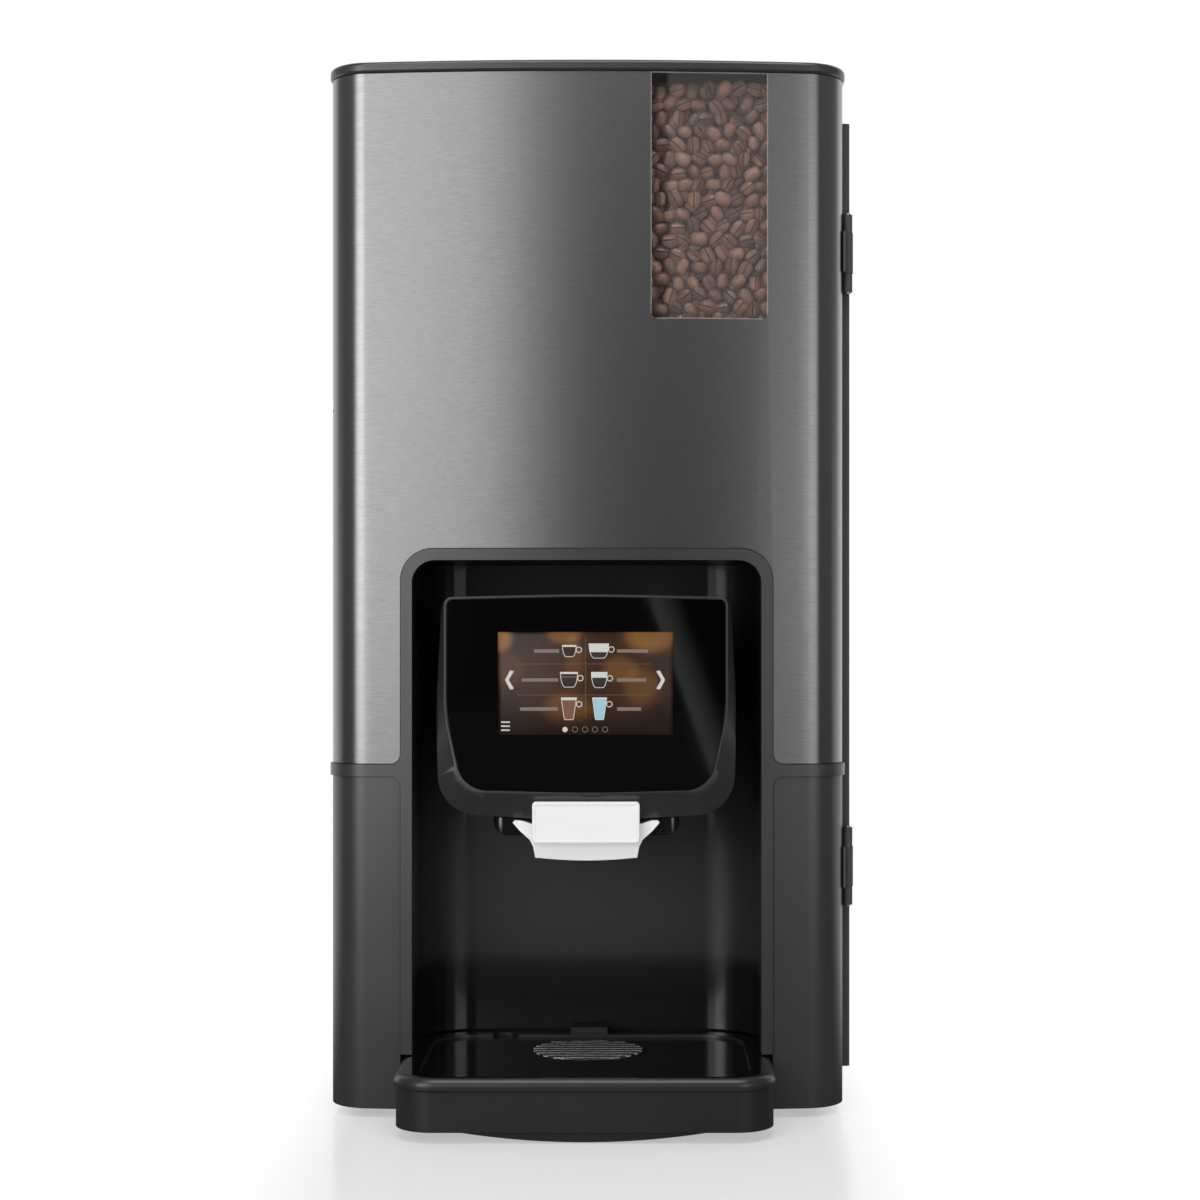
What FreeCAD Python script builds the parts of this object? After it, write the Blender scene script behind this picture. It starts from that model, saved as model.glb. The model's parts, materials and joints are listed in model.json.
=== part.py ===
import FreeCAD, Part
import math
import os
from types import SimpleNamespace

import Sketcher

# A counter-top bean-to-cup coffee machine, in millimetres.
# The origin is on the floor under the middle of the whole machine, +X to the right of someone who
# faces it, +Y to the back and +Z up, so the front looks along -Y.
# The whole front is a door on the right side. It carries the cup niche, the screen, the outlet and
# the drip tray. The housing behind it carries the bean hopper, grinder, brewer, mixer and boiler.

SIZES = {
    # Whole machine
    "body_width": 342.0,
    "front_to_back": 418.0,       # front face to the outside of the back panel
    "tray_reach": 72.0,           # drip tray in front of the front face
    "inlet_reach": 12.0,          # water inlet behind the back panel
    "total_height": 696.0,
    "foot_height": 6.0,
    "front_radius": 1450.0,       # gentle curve of the front face, seen from above
    "corner_radius": 28.0,        # upright corners of the front
    "lid_height": 7.0,
    "lid_overhang": 1.5,
    "lid_wall": 2.5,
    "lid_gap": 0.6,               # between the door's top and the lid
    "lid_skirt": 5.5,
    # Sheet and moulding thicknesses
    "skin_wall": 1.2,
    "skin_gap": 0.5,
    "panel_wall": 2.5,
    "housing_wall": 1.5,
    "base_wall": 2.0,
    "chassis_wall": 2.0,
    "shelf_wall": 3.0,
    # Door
    "door_depth": 42.0,
    "door_gap": 2.0,              # between the door's back and the housing
    "door_plate": 3.0,
    "door_foot_gap": 2.0,
    "band_bottom": 225.0,
    "band_height": 8.0,
    "trim_proud": 1.6,
    "trim_fillet": 7.0,
    "trim_depth": 14.0,
    "trim_foot": 42.4,
    "arch_half": 122.5,
    "arch_top": 375.0,
    "arch_radius": 21.0,
    "post_width": 15.0,
    "post_depth": 18.0,
    "post_inset": 6.5,
    "window_left": 42.0,
    "window_right": 119.5,
    "window_foot": 526.0,
    "window_radius": 5.0,
    "pane_wall": 3.0,
    "pane_recess": 0.2,
    # Cup niche
    "niche_half": 115.0,
    "niche_top": 367.5,
    "niche_radius": 15.0,
    "niche_depth": 98.0,
    "niche_corner": 36.0,
    "liner_wall": 2.5,
    # Screen pod
    "pod_half_top": 94.5,
    "pod_half_middle": 98.3,
    "pod_half_foot": 96.5,
    "pod_top": 342.3,
    "pod_crown": 345.2,
    "pod_middle": 268.0,
    "pod_shoulder": 202.0,
    "pod_foot": 195.8,
    "pod_reach": 15.0,            # glass in front of the front face
    "pod_bevel": 10.0,
    "pod_depth": 42.0,
    "glass_half": 91.0,
    "glass_half_foot": 80.0,
    "glass_top": 341.5,
    "glass_crown": 343.6,
    "glass_waist": 266.0,
    "glass_foot": 217.5,
    "glass_low": 215.6,
    "glass_wall": 2.8,
    "display_half": 59.0,
    "display_foot": 251.5,
    "display_height": 71.0,
    "display_wall": 7.0,
    "neck_half": 60.0,
    "neck_foot": 222.0,
    "neck_height": 108.0,
    # Outlet
    "spout_depth": 35.5,          # nozzles and grille behind the front face
    "outlet_foot": 172.2,
    "outlet_half": 33.3,
    "outlet_belly": 278.0,        # radius of its lower edge
    "outlet_top": 190.0,
    "outlet_wing": 48.0,
    "wing_rise": 5.2,
    "wing_tip": 7.4,
    "outlet_rear": 54.0,
    "outlet_wall": 2.5,
    "plate_half": 34.9,
    "plate_foot": 183.0,
    "plate_height": 27.0,
    "plate_corner": 2.6,
    "plate_rim": 2.0,             # its raised rim
    "plate_recess": 0.5,
    "plate_wall": 8.0,
    "carriage_half": 61.0,
    "carriage_wall": 6.6,
    "carriage_drop": 3.0,         # its cheeks beside the outlet
    "carriage_corner": 9.0,
    "stem_half": 24.0,
    "stem_wall": 9.0,
    "stem_top": 300.0,
    "nozzle_pitch": 11.0,
    "nozzle_radius": 5.0,
    "nozzle_bore": 3.5,
    "nozzle_foot": 170.0,
    "slide_gap": 0.3,
    # Drip tray
    "rim_half": 121.5,
    "rim_top": 41.6,
    "rim_height": 9.0,
    "rim_round": 6.0,
    "rim_lip": 1.4,               # the round under the rim
    "tray_corner": 27.0,
    "tray_foot": 7.2,
    "tray_rear_gap": 1.5,
    "tray_wall": 3.0,
    "belly_drop": 6.4,
    "belly_half": 80.0,
    "plate_edge": 105.0,
    "plate_drop": 2.0,            # the plate's top under the rim
    "front_ledge": 14.0,          # the rim's flat in front of the plate
    "back_ledge": 15.5,           # rim behind the plate
    "drip_plate_wall": 2.5,
    "seat_wall": 0.8,
    "grille_radius": 36.5,
    "grille_rim": 3.0,
    "grille_wall": 2.3,
    "slat_width": 4.2,
    "slat_proud": 1.0,
    "slat_pitch": 8.0,
    "lug_half": 12.6,
    "lug_top": 46.5,
    "float_radius": 7.5,
    "float_height": 15.5,
    "float_place": -58.0,
    "carrier_wall": 10.0,
    "carrier_inset": 8.5,         # behind the front face
    "runner_height": 3.0,
    # Hinges and lock
    "hinge_out": 3.9,             # door hinge axis outside the side wall
    "hinge_back": 38.0,           # behind the front face
    "hinge_high": 575.0,
    "hinge_low": 163.0,
    "knuckle_radius": 3.2,
    "door_knuckle_radius": 3.6,
    "knuckle_half": 13.6,
    "knuckle_end": 26.0,
    "knuckle_gap": 0.4,
    "pin_radius": 1.75,
    "pin_gap": 0.05,
    "leaf_wall": 1.8,
    "leaf_depth": 10.0,
    "rail_foot": 27.0,
    "rail_top": 664.0,
    "rail_out": 5.8,
    "rail_depth": 26.0,
    "lid_hinge_inset": 25.0,
    "lid_hinge_place": 110.0,
    "lid_knuckle_half": 15.0,
    "lid_knuckle_radius": 3.2,
    "lid_pin_radius": 1.5,
    "lid_edge_gap": 3.7,
    "lock_height": 470.0,
    "lock_sunk": 1.0,             # the barrel's face under the side
    "lock_plug_proud": 0.2,
    "lock_back": 9.0,             # in front of the door's back
    "lock_radius": 6.5,
    "plug_radius": 4.0,
    "cam_length": 21.0,
    "cam_width": 8.0,
    "cam_wall": 2.5,
    # Housing
    "flange": 12.0,
    "notch_clearance": 13.5,      # base plate beside the niche liner
    "notch_gap": 2.5,
    "foot_radius": 14.0,
    "foot_inset": 24.0,
    "stud_radius": 4.0,
    "stud_height": 12.0,
    "top_rail": 18.5,
    "top_rail_height": 8.5,
    "top_bar_depth": 40.0,
    "bulkhead_place": 70.0,
    "bulkhead_top": 640.0,
    "shelf_height": 442.0,
    "vent_width": 3.0,
    "vent_length": 56.0,
    "vent_pitch": 10.0,
    "side_vent_foot": 60.0,
    "side_vent_inset": 40.0,
    "back_vent_drop": 350.0,
    "back_vent_inset": 50.0,
    "back_vent_length": 84.0,
    "screw_inset": 20.0,
    "screw_drop": 40.0,
    "screw_radius": 4.0,
    "screw_head": 2.0,
    "screw_shank": 2.0,
    # Bean hopper and grinder
    "hopper_left": 31.0,
    "hopper_right": 128.0,
    "hopper_front": 9.5,          # behind the front face
    "hopper_back": 60.0,
    "hopper_foot": 520.0,
    "hopper_hole_drop": 25.0,
    "hopper_wall": 2.5,
    "neck_radius": 22.0,
    "grinder_x": 80.0,
    "grinder_y": -15.0,
    "grinder_radius": 42.0,
    "grinder_height": 55.0,
    "burr_radius": 32.0,
    "burr_wall": 10.0,
    "grinder_shaft": 6.0,
    "motor_radius": 36.0,
    "motor_height": 85.0,
    # Brewer
    "brew_x": -5.0,
    "brew_y": -20.0,
    "chamber_radius": 30.0,
    "chamber_bore": 26.0,
    "chamber_foot": 230.0,
    "chamber_height": 60.0,
    "chamber_floor": 24.0,
    "piston_gap": 0.3,
    "piston_foot": 310.0,
    "piston_travel": 45.0,
    "piston_height": 16.0,
    "piston_rod": 6.0,
    "frame_top": 372.0,
    "frame_arm": 6.0,
    "frame_margin": 6.0,
    "frame_rise": 10.0,
    "frame_drop": 30.0,
    "chute_gap": 2.0,
    "spindle_offset": 44.0,
    "spindle_radius": 4.0,
    "spindle_gap": 0.3,
    "brewer_motor_radius": 18.0,
    "brewer_motor_height": 50.0,
    # Powder canisters, augers and mixer
    "canister_left_edge": -140.0,
    "canister_split": -67.0,
    "canister_gap": 3.0,
    "canister_right_edge": 6.0,
    "canister_back": 45.0,
    "canister_foot": 500.0,
    "canister_top": 660.0,
    "canister_wall": 2.0,
    "trough_offset": 23.0,
    "trough_radius": 17.0,
    "trough_front": 17.0,
    "drop_radius": 8.0,
    "auger_radius": 13.0,
    "auger_shaft": 3.0,
    "auger_pitch": 21.0,
    "auger_blade": 2.0,
    "gear_motor_radius": 17.0,
    "gear_motor_length": 20.0,
    "mixer_y": -92.0,
    "bowl_radius": 42.0,
    "bowl_lip": 12.0,
    "bowl_cone": 28.0,
    "bowl_neck": 14.0,
    "bowl_wall": 2.0,
    "whip_height": 396.0,
    "whip_radius": 13.0,
    "whip_shell": 17.0,
    "whip_length": 30.0,
    "whip_shaft": 3.0,
    "whip_motor_length": 45.0,
    # Water, power and cooling
    "boiler_x": -95.0,
    "boiler_y": 160.0,
    "boiler_radius": 55.0,
    "boiler_foot": 60.0,
    "boiler_height": 280.0,
    "pump_x": 70.0,
    "pump_z": 50.0,
    "pump_radius": 24.0,
    "pump_length": 75.0,
    "pump_front": 110.0,
    "valve_z": 150.0,
    "valve_width": 90.0,
    "valve_depth": 28.0,
    "valve_height": 40.0,
    "valve_stem": 7.0,
    "coil_lift": 12.0,
    "coil_width": 28.0,
    "coil_height": 34.0,
    "pipe_radius": 4.0,
    "pipe_bend": 14.0,
    "water_x": 130.0,
    "water_z": 60.0,
    "water_thread": 13.2,
    "water_bore": 7.0,
    "power_x": 125.0,
    "power_z": 118.0,
    "power_width": 46.0,
    "power_height": 27.0,
    "supply_width": 200.0,
    "supply_height": 160.0,
    "supply_depth": 50.0,
    "fan_x": 95.0,
    "fan_drop": 116.0,            # fan's centre under the housing's top
    "fan_size": 80.0,
    "fan_depth": 25.0,
    "fan_radius": 35.0,
    "fan_hub": 14.0,
    "bin_half": 110.0,
    "bin_front": 8.5,             # behind the niche liner
    "bin_back": 8.0,              # in front of the bulkhead
    "bin_height": 168.0,
    "bin_wall": 2.5,
}

doc = FreeCAD.newDocument("coffee_machine")
sheet = doc.addObject("Spreadsheet::Sheet", "dims")
for row, (name, value) in enumerate(SIZES.items(), 1):
    sheet.set("A%d" % row, name)
    sheet.set("B%d" % row, str(value))
    sheet.setAlias("B%d" % row, name)
doc.recompute()


class Size:
    """A length: its expression in the sheet's cells, and its number."""

    def __init__(self, text, number):
        self.text = text
        self.number = float(number)

    def __add__(self, other):
        return joined(self, "+", other)

    def __radd__(self, other):
        return joined(other, "+", self)

    def __sub__(self, other):
        return joined(self, "-", other)

    def __rsub__(self, other):
        return joined(other, "-", self)

    def __mul__(self, other):
        return joined(self, "*", other)

    def __rmul__(self, other):
        return joined(other, "*", self)

    def __truediv__(self, other):
        return joined(self, "/", other)

    def __neg__(self):
        return joined(0, "-", self)

    def __float__(self):
        return self.number


def as_size(value):
    """A Size as it is, and a bare number as one."""
    return value if isinstance(value, Size) else Size(repr(float(value)), value)


def joined(left, sign, right):
    left, right = as_size(left), as_size(right)
    number = {
        "+": left.number + right.number,
        "-": left.number - right.number,
        "*": left.number * right.number,
        "/": left.number / right.number if right.number else 0.0,
    }[sign]
    return Size("(%s %s %s)" % (left.text, sign, right.text), number)


def root(size):
    return Size("sqrt(%s)" % size.text, math.sqrt(size.number))


d = SimpleNamespace(**{name: Size("dims." + name, value) for name, value in SIZES.items()})

# Places that several pieces share, each worked out from the sheet.
half = d.body_width / 2
front = d.tray_reach / 2 - d.front_to_back / 2 - d.inlet_reach / 2
panel_back = front + d.front_to_back
tray_front = front - d.tray_reach
door_back = front + d.door_depth
door_plate_front = door_back - d.door_plate
housing_front = door_back + d.door_gap
housing_top = d.total_height - d.lid_height
door_top = housing_top - d.lid_gap
door_foot = d.foot_height
band_top = d.band_bottom + d.band_height
inner_half = half - d.housing_wall
notch_x = d.niche_half + d.liner_wall + d.notch_clearance
foot_x = (inner_half + notch_x) / 2
fan_z = housing_top - d.fan_drop
back_face = panel_back - d.housing_wall
flange_back = housing_front + d.housing_wall
base_top = d.foot_height + d.base_wall
liner_back = front + d.niche_depth
liner_out = d.niche_half + d.liner_wall
liner_rear = liner_back + d.liner_wall
trim_back = front + d.trim_depth
glass_face = front - d.pod_reach
bevel_back = glass_face + d.pod_bevel
pod_back = glass_face + d.pod_depth
spout_y = front + d.spout_depth
hinge_x = half + d.hinge_out
hinge_y = front + d.hinge_back
hinge_heights = (d.hinge_high, d.hinge_low)
lid_hinge_y = panel_back - d.lid_hinge_inset
lid_hinge_z = d.total_height - d.lid_knuckle_radius - 0.1
lid_back = lid_hinge_y - d.lid_edge_gap
shelf_top = d.shelf_height + d.shelf_wall
bulkhead_back = d.bulkhead_place + d.chassis_wall
trough_z = shelf_top + d.trough_radius
corner_x = half - d.corner_radius
curve_y = front + d.front_radius
corner_y = curve_y - root(
    (d.front_radius - d.corner_radius) * (d.front_radius - d.corner_radius) - corner_x * corner_x
)


def bind(thing, path, size):
    """Ties one property of an object to the sheet."""
    thing.setExpression(path, as_size(size).text)


def place(thing, x, y, z):
    bind(thing, "Placement.Base.x", x)
    bind(thing, "Placement.Base.y", y)
    bind(thing, "Placement.Base.z", z)


TURNS = {
    "X": FreeCAD.Rotation(FreeCAD.Vector(0, 1, 0), 90),
    "Y": FreeCAD.Rotation(FreeCAD.Vector(1, 0, 0), -90),
    "Z": FreeCAD.Rotation(),
}


def box(name, xs, ys, zs):
    """A block between two places along each axis."""
    block = doc.addObject("Part::Box", name)
    for side, (low, high) in zip(("Length", "Width", "Height"), (xs, ys, zs)):
        bind(block, side, as_size(high) - low)
    place(block, xs[0], ys[0], zs[0])
    return block


def rod(name, axis, centre, radius, start, end):
    """A cylinder along an axis. The centre gives the two other places, in X, Y, Z order."""
    cylinder = doc.addObject("Part::Cylinder", name)
    bind(cylinder, "Radius", radius)
    bind(cylinder, "Height", as_size(end) - start)
    cylinder.Placement.Rotation = TURNS[axis]
    u, v = centre
    spots = {"X": (start, u, v), "Y": (u, start, v), "Z": (u, v, start)}
    place(cylinder, *spots[axis])
    return cylinder


def taper(name, low, high, zs):
    """A solid between a lower and an upper upright-sided rectangle, each (x0, x1, y0, y1)."""
    wedge = doc.addObject("Part::Wedge", name)
    cells = {
        "Xmin": low[0], "Xmax": low[1], "Zmin": -as_size(low[3]), "Zmax": -as_size(low[2]),
        "X2min": high[0], "X2max": high[1], "Z2min": -as_size(high[3]), "Z2max": -as_size(high[2]),
        "Ymin": zs[0], "Ymax": zs[1],
    }
    # The first rectangle of a wedge is its low-Y end, which turns to face down here.
    wedge.Xmin, wedge.Xmax = float(as_size(low[0])), float(as_size(low[1]))
    wedge.X2min, wedge.X2max = float(as_size(high[0])), float(as_size(high[1]))
    wedge.Zmin, wedge.Zmax = -float(as_size(low[3])), -float(as_size(low[2]))
    wedge.Z2min, wedge.Z2max = -float(as_size(high[3])), -float(as_size(high[2]))
    wedge.Ymin, wedge.Ymax = float(as_size(zs[0])), float(as_size(zs[1]))
    for path, size in cells.items():
        bind(wedge, path, size)
    wedge.Placement.Rotation = FreeCAD.Rotation(FreeCAD.Vector(1, 0, 0), 90)
    return wedge


def fuse(name, *solids):
    union = doc.addObject("Part::MultiFuse", name)
    union.Shapes = list(solids)
    union.Refine = True
    return union


def cut(name, base, *tools):
    result = doc.addObject("Part::Cut", name)
    result.Base = base
    result.Tool = tools[0] if len(tools) == 1 else fuse(name + "_tool", *tools)
    result.Refine = True
    return result


def common(name, one, other):
    result = doc.addObject("Part::Common", name)
    result.Base = one
    result.Tool = other
    result.Refine = True
    return result


def together(name, solids):
    """Separate solids of one node."""
    bundle = doc.addObject("Part::Compound", name)
    bundle.Links = list(solids)
    return bundle


def arc_between(start, end, radius, way):
    """The shorter arc from start to end, turning left when way is 1 and right when it is -1."""
    chord = end - start
    reach = math.sqrt(max(radius * radius - (chord.Length / 2) ** 2, 0.0))
    left = FreeCAD.Vector(-chord.y, chord.x, 0).normalize()
    centre = (start + end) * 0.5 + left * (reach * way)
    first, last = (start, end) if way > 0 else (end, start)
    angles = [math.atan2(p.y - centre.y, p.x - centre.x) for p in (first, last)]
    circle = Part.Circle(centre, FreeCAD.Vector(0, 0, 1), radius)
    return Part.ArcOfCircle(circle, angles[0], angles[1])


def pin_point(sketch, geometry, end, x, y):
    """Dimensions one point of a sketch from its origin."""
    for kind, size in (("DistanceX", as_size(x)), ("DistanceY", as_size(y))):
        rule = Sketcher.Constraint(kind, -1, 1, geometry, end, size.number)
        bind(sketch, "Constraints[%d]" % sketch.addConstraint(rule), size)


def set_radius(sketch, geometry, radius):
    rule = Sketcher.Constraint("Radius", geometry, as_size(radius).number)
    bind(sketch, "Constraints[%d]" % sketch.addConstraint(rule), radius)


def draw_loop(sketch, corners):
    """A closed outline. A corner is (x, y), or (x, y, radius, way) when an arc leaves it."""
    ends = []
    for here, there in zip(corners, corners[1:] + corners[:1]):
        start = FreeCAD.Vector(float(as_size(here[0])), float(as_size(here[1])), 0)
        end = FreeCAD.Vector(float(as_size(there[0])), float(as_size(there[1])), 0)
        if len(here) == 2:
            ends.append((sketch.addGeometry(Part.LineSegment(start, end), False), 1, 2))
            continue
        arc = sketch.addGeometry(arc_between(start, end, float(here[2]), here[3]), False)
        set_radius(sketch, arc, here[2])
        ends.append((arc, 1, 2) if here[3] > 0 else (arc, 2, 1))
    for number, corner in enumerate(corners):
        geometry, start, _ = ends[number]
        before, _, finish = ends[number - 1]
        sketch.addConstraint(Sketcher.Constraint("Coincident", before, finish, geometry, start))
        pin_point(sketch, geometry, start, corner[0], corner[1])


def draw_circle(sketch, x, y, radius):
    centre = FreeCAD.Vector(float(as_size(x)), float(as_size(y)), 0)
    circle = Part.Circle(centre, FreeCAD.Vector(0, 0, 1), float(as_size(radius)))
    geometry = sketch.addGeometry(circle, False)
    pin_point(sketch, geometry, 3, x, y)
    set_radius(sketch, geometry, radius)


def sketch_in(body, plane, offset, loops):
    """A sketch on one of the body's own planes. A tuple loop is a circle (x, y, radius)."""
    sketch = body.newObject("Sketcher::SketchObject", "sketch")
    planes = {feature.Role: feature for feature in body.Origin.OriginFeatures}
    sketch.AttachmentSupport = (planes[plane + "_Plane"], "")
    sketch.MapMode = "FlatFace"
    bind(sketch, "AttachmentOffset.Base.z", offset)
    for loop in loops:
        if isinstance(loop, tuple):
            draw_circle(sketch, *loop)
        else:
            draw_loop(sketch, loop)
    return sketch


def pad(name, plane, start, end, *loops):
    """A PartDesign pad between two places along the axis that the plane faces."""
    body = doc.addObject("PartDesign::Body", name)
    # An XZ sketch faces -Y, so it lies at the far end and its pad comes forward.
    offset = -as_size(end) if plane == "XZ" else start
    feature = body.newObject("PartDesign::Pad", "pad")
    feature.Profile = sketch_in(body, plane, offset, loops)
    bind(feature, "Length", as_size(end) - start)
    return body


def turned(name, axis, spot, corners):
    """A PartDesign revolution of corners (radius, height) about an axis through a spot."""
    body = doc.addObject("PartDesign::Body", name)
    feature = body.newObject("PartDesign::Revolution", "turn")
    sketch = sketch_in(body, "XZ", as_size(0), [corners])
    feature.Profile = sketch
    feature.ReferenceAxis = (sketch, ["V_Axis"])
    feature.Angle = 360
    body.Placement.Rotation = TURNS[axis]
    place(body, *spot)
    return body


def soften(body, kind, size, chosen):
    """A PartDesign fillet or chamfer on the edges that chosen() picks."""
    doc.recompute()
    last = body.Tip
    names = ["Edge%d" % i for i, edge in enumerate(last.Shape.Edges, 1) if chosen(edge.BoundBox)]
    feature = body.newObject("PartDesign::" + kind, kind.lower())
    feature.Base = (last, names)
    bind(feature, "Radius" if kind == "Fillet" else "Size", size)
    return body


def near(value, size):
    return abs(value - float(as_size(size))) < 0.01


def rounded(x0, x1, y0, y1, low=None, high=None):
    """A rectangle with its two low-y and its two high-y corners rounded, if a radius is given."""
    corners = [(x0, y0), (x1, y0), (x1, y1), (x0, y1)]
    if low is not None:
        corners[0:2] = [(x0 + low, y0), (x1 - low, y0, low, 1), (x1, y0 + low)]
    if high is not None:
        corners[-2:] = [(x1, y1 - high, high, 1), (x1 - high, y1), (x0 + high, y1, high, 1), (x0, y1 - high)]
    if low is not None:
        corners.append((x0, y0 + low, low, 1))
    return corners


def front_points(inset):
    """Where the front outline's corners start and end, at an inset from the outside."""
    share = (d.front_radius - inset) / (d.front_radius - d.corner_radius)
    return half - inset, corner_x * share, curve_y - (curve_y - corner_y) * share


def front_outline(inset, back):
    """The machine seen from above: a gently curved front with two round corners."""
    side, turn_x, turn_y = front_points(inset)
    small, big = d.corner_radius - inset, d.front_radius - inset
    return [
        (-side, back), (-side, corner_y, small, 1), (-turn_x, turn_y, big, 1),
        (turn_x, turn_y, small, 1), (side, corner_y), (side, back),
    ]


def front_sheet(outer, inner, back):
    """A sheet that follows the front outline, between two insets, open at the back."""
    side, turn_x, turn_y = front_points(inner)
    small, big = d.corner_radius - inner, d.front_radius - inner
    return front_outline(outer, back) + [
        (side, back), (side, corner_y, small, -1), (turn_x, turn_y, big, -1),
        (-turn_x, turn_y, small, -1), (-side, corner_y), (-side, back),
    ]


def trim_front_outline(gap):
    """The arch and the waist band seen from the front, with fillets where they meet."""
    arch, fillet, out = d.arch_half + gap, d.trim_fillet - gap, half + 2 * d.trim_proud
    low, high = d.band_bottom, band_top + gap
    foot, top, niche = d.trim_foot, d.arch_top + gap, d.niche_half
    bend = d.arch_radius + gap
    right = [
        (arch, foot), (arch, low - fillet, fillet, -1), (arch + fillet, low), (out, low), (out, high),
        (arch + fillet, high, fillet, -1), (arch, high + fillet),
        (arch, top - bend, bend, 1), (arch - bend, top),
    ]
    left = [
        (-arch + bend, top, bend, 1), (-arch, top - bend),
        (-arch, high + fillet, fillet, -1), (-arch - fillet, high), (-out, high), (-out, low),
        (-arch - fillet, low, fillet, -1), (-arch, low - fillet), (-arch, foot),
    ]
    inside = [
        (-niche, foot), (-niche, d.niche_top - d.niche_radius, d.niche_radius, -1),
        (-niche + d.niche_radius, d.niche_top), (niche - d.niche_radius, d.niche_top, d.niche_radius, -1),
        (niche, d.niche_top - d.niche_radius), (niche, foot),
    ]
    return right + left + inside


def trim_front(gap=as_size(0)):
    return pad("trim_front", "XZ", front - 2 * d.trim_proud, door_back, trim_front_outline(gap))


def arch_block(name, start, end, foot, half_width, top, radius):
    """An upright block with round top corners, like the niche seen from the front."""
    return pad(name, "XZ", start, end, rounded(-half_width, half_width, foot, top, None, radius))


# The door


def upper_skin():
    sheet_metal = pad("skin_sheet", "XY", band_top + d.skin_gap, door_top,
                      front_sheet(as_size(0), d.skin_wall, door_back))
    window = pad(
        "window_hole", "XZ", front - 5, front + 15,
        rounded(d.window_left, d.window_right, d.window_foot, door_top + 5, d.window_radius),
    )
    niche = arch_block("niche_hole", front - 5, front + 30, door_foot, d.arch_half + d.skin_gap,
                       d.arch_top + d.skin_gap, d.arch_radius + d.skin_gap)
    lock = rod("lock_hole", "X", (lock_y, d.lock_height), d.lock_radius, -half - 5, -half + 5)
    return cut("upper_skin", sheet_metal, window, niche, trim_front(d.skin_gap), lock)


def window_pane():
    recess = d.pane_recess
    curved = pad(
        "pane_sheet", "XY", d.window_foot, door_top, front_sheet(recess, recess + d.pane_wall, door_back)
    )
    shape = pad(
        "pane_shape", "XZ", front - 5, front + 15,
        rounded(d.window_left, d.window_right, d.window_foot, door_top + 5, d.window_radius),
    )
    return common("window_pane", curved, shape)


def trim_frame():
    proud = -d.trim_proud
    band = common(
        "trim_band", trim_front(),
        pad("trim_sheet", "XY", d.trim_foot, d.arch_top + 5, front_sheet(proud, d.skin_wall, door_back)),
    )
    ring = cut(
        "trim_ring_shape",
        arch_block("trim_outer", front - 5, trim_back, d.trim_foot, d.arch_half, d.arch_top, d.arch_radius),
        arch_block("trim_inner", front - 6, trim_back + 1, d.trim_foot - 1, d.niche_half, d.niche_top,
                   d.niche_radius),
    )
    bounded = common(
        "trim_ring", ring,
        pad("trim_limit", "XY", d.trim_foot - 5, d.arch_top + 5, front_outline(proud, door_back)),
    )
    return fuse("trim_frame", band, bounded)


def lower_panel(name, inner_edge, outer_edge):
    sheet_part = pad(
        name + "_sheet", "XY", door_foot, d.band_bottom, front_sheet(as_size(0), d.panel_wall, door_back)
    )
    side = box(name + "_side", sorted_pair(inner_edge, outer_edge), (front - 5, door_back + 5),
               (door_foot - 1, d.band_bottom + 1))
    return cut(name, common(name + "_part", sheet_part, side), trim_front())


def sorted_pair(one, other):
    return (one, other) if float(as_size(one)) < float(as_size(other)) else (other, one)


def lower_panel_left():
    return lower_panel("lower_panel_left", -d.arch_half, -half - 5)


def lower_panel_right():
    return lower_panel("lower_panel_right", d.arch_half, half + 5)


def post(name, side):
    """A welded square tube, behind the skin on one side of the door."""
    outer = half - d.post_inset - d.panel_wall
    inner = outer - d.post_width
    wall = d.housing_wall
    xs = (inner, outer) if side > 0 else (-outer, -inner)
    ys = (door_plate_front - d.post_depth, door_plate_front)
    return pad(
        name, "XY", door_foot + d.door_foot_gap, door_top - 1,
        rounded(xs[0], xs[1], ys[0], ys[1]),
        rounded(xs[0] + wall, xs[1] - wall, ys[0] + wall, ys[1] - wall),
    )


carrier_half = d.arch_half + 0.5


def door_frame():
    """The door's back plate, wide above the band and narrower below it, with two posts."""
    ys = (door_plate_front, door_back)
    low_half, high_half = half - d.panel_wall, half - d.skin_wall
    plate = fuse(
        "door_plate",
        box("door_plate_low", (-low_half, low_half), ys, (door_foot + d.door_foot_gap, d.band_bottom)),
        box("door_plate_high", (-high_half, high_half), ys, (d.band_bottom, door_top - 1)),
        post("post_left", -1),
        post("post_right", 1),
    )
    wide = (door_plate_front - 1, door_back + 1)
    hole = arch_block("liner_hole", wide[0], wide[1], door_foot, liner_out, d.niche_top + d.liner_wall,
                      d.niche_radius + d.liner_wall)
    tray_hole = box("tray_hole", (-carrier_half, carrier_half), wide, (door_foot - 1, d.trim_foot))
    hopper_hole = box("hopper_hole", (d.hopper_left - 9, d.hopper_right + 8), wide,
                      (d.hopper_foot - d.hopper_hole_drop, door_top + 5))
    cam_slot = box("cam_slot", (-half, -half + d.flange - 4), wide,
                   (d.lock_height - d.cam_length - 1, d.lock_height + d.cam_width))
    return cut("door_frame", plate, hole, tray_hole, hopper_hole, cam_slot)


def niche_plan(grow, back):
    """The niche seen from above, with its concave back corners."""
    side, corner = d.niche_half + grow, d.niche_corner + grow
    return rounded(-side, side, front - 5, back, None, corner)


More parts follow.
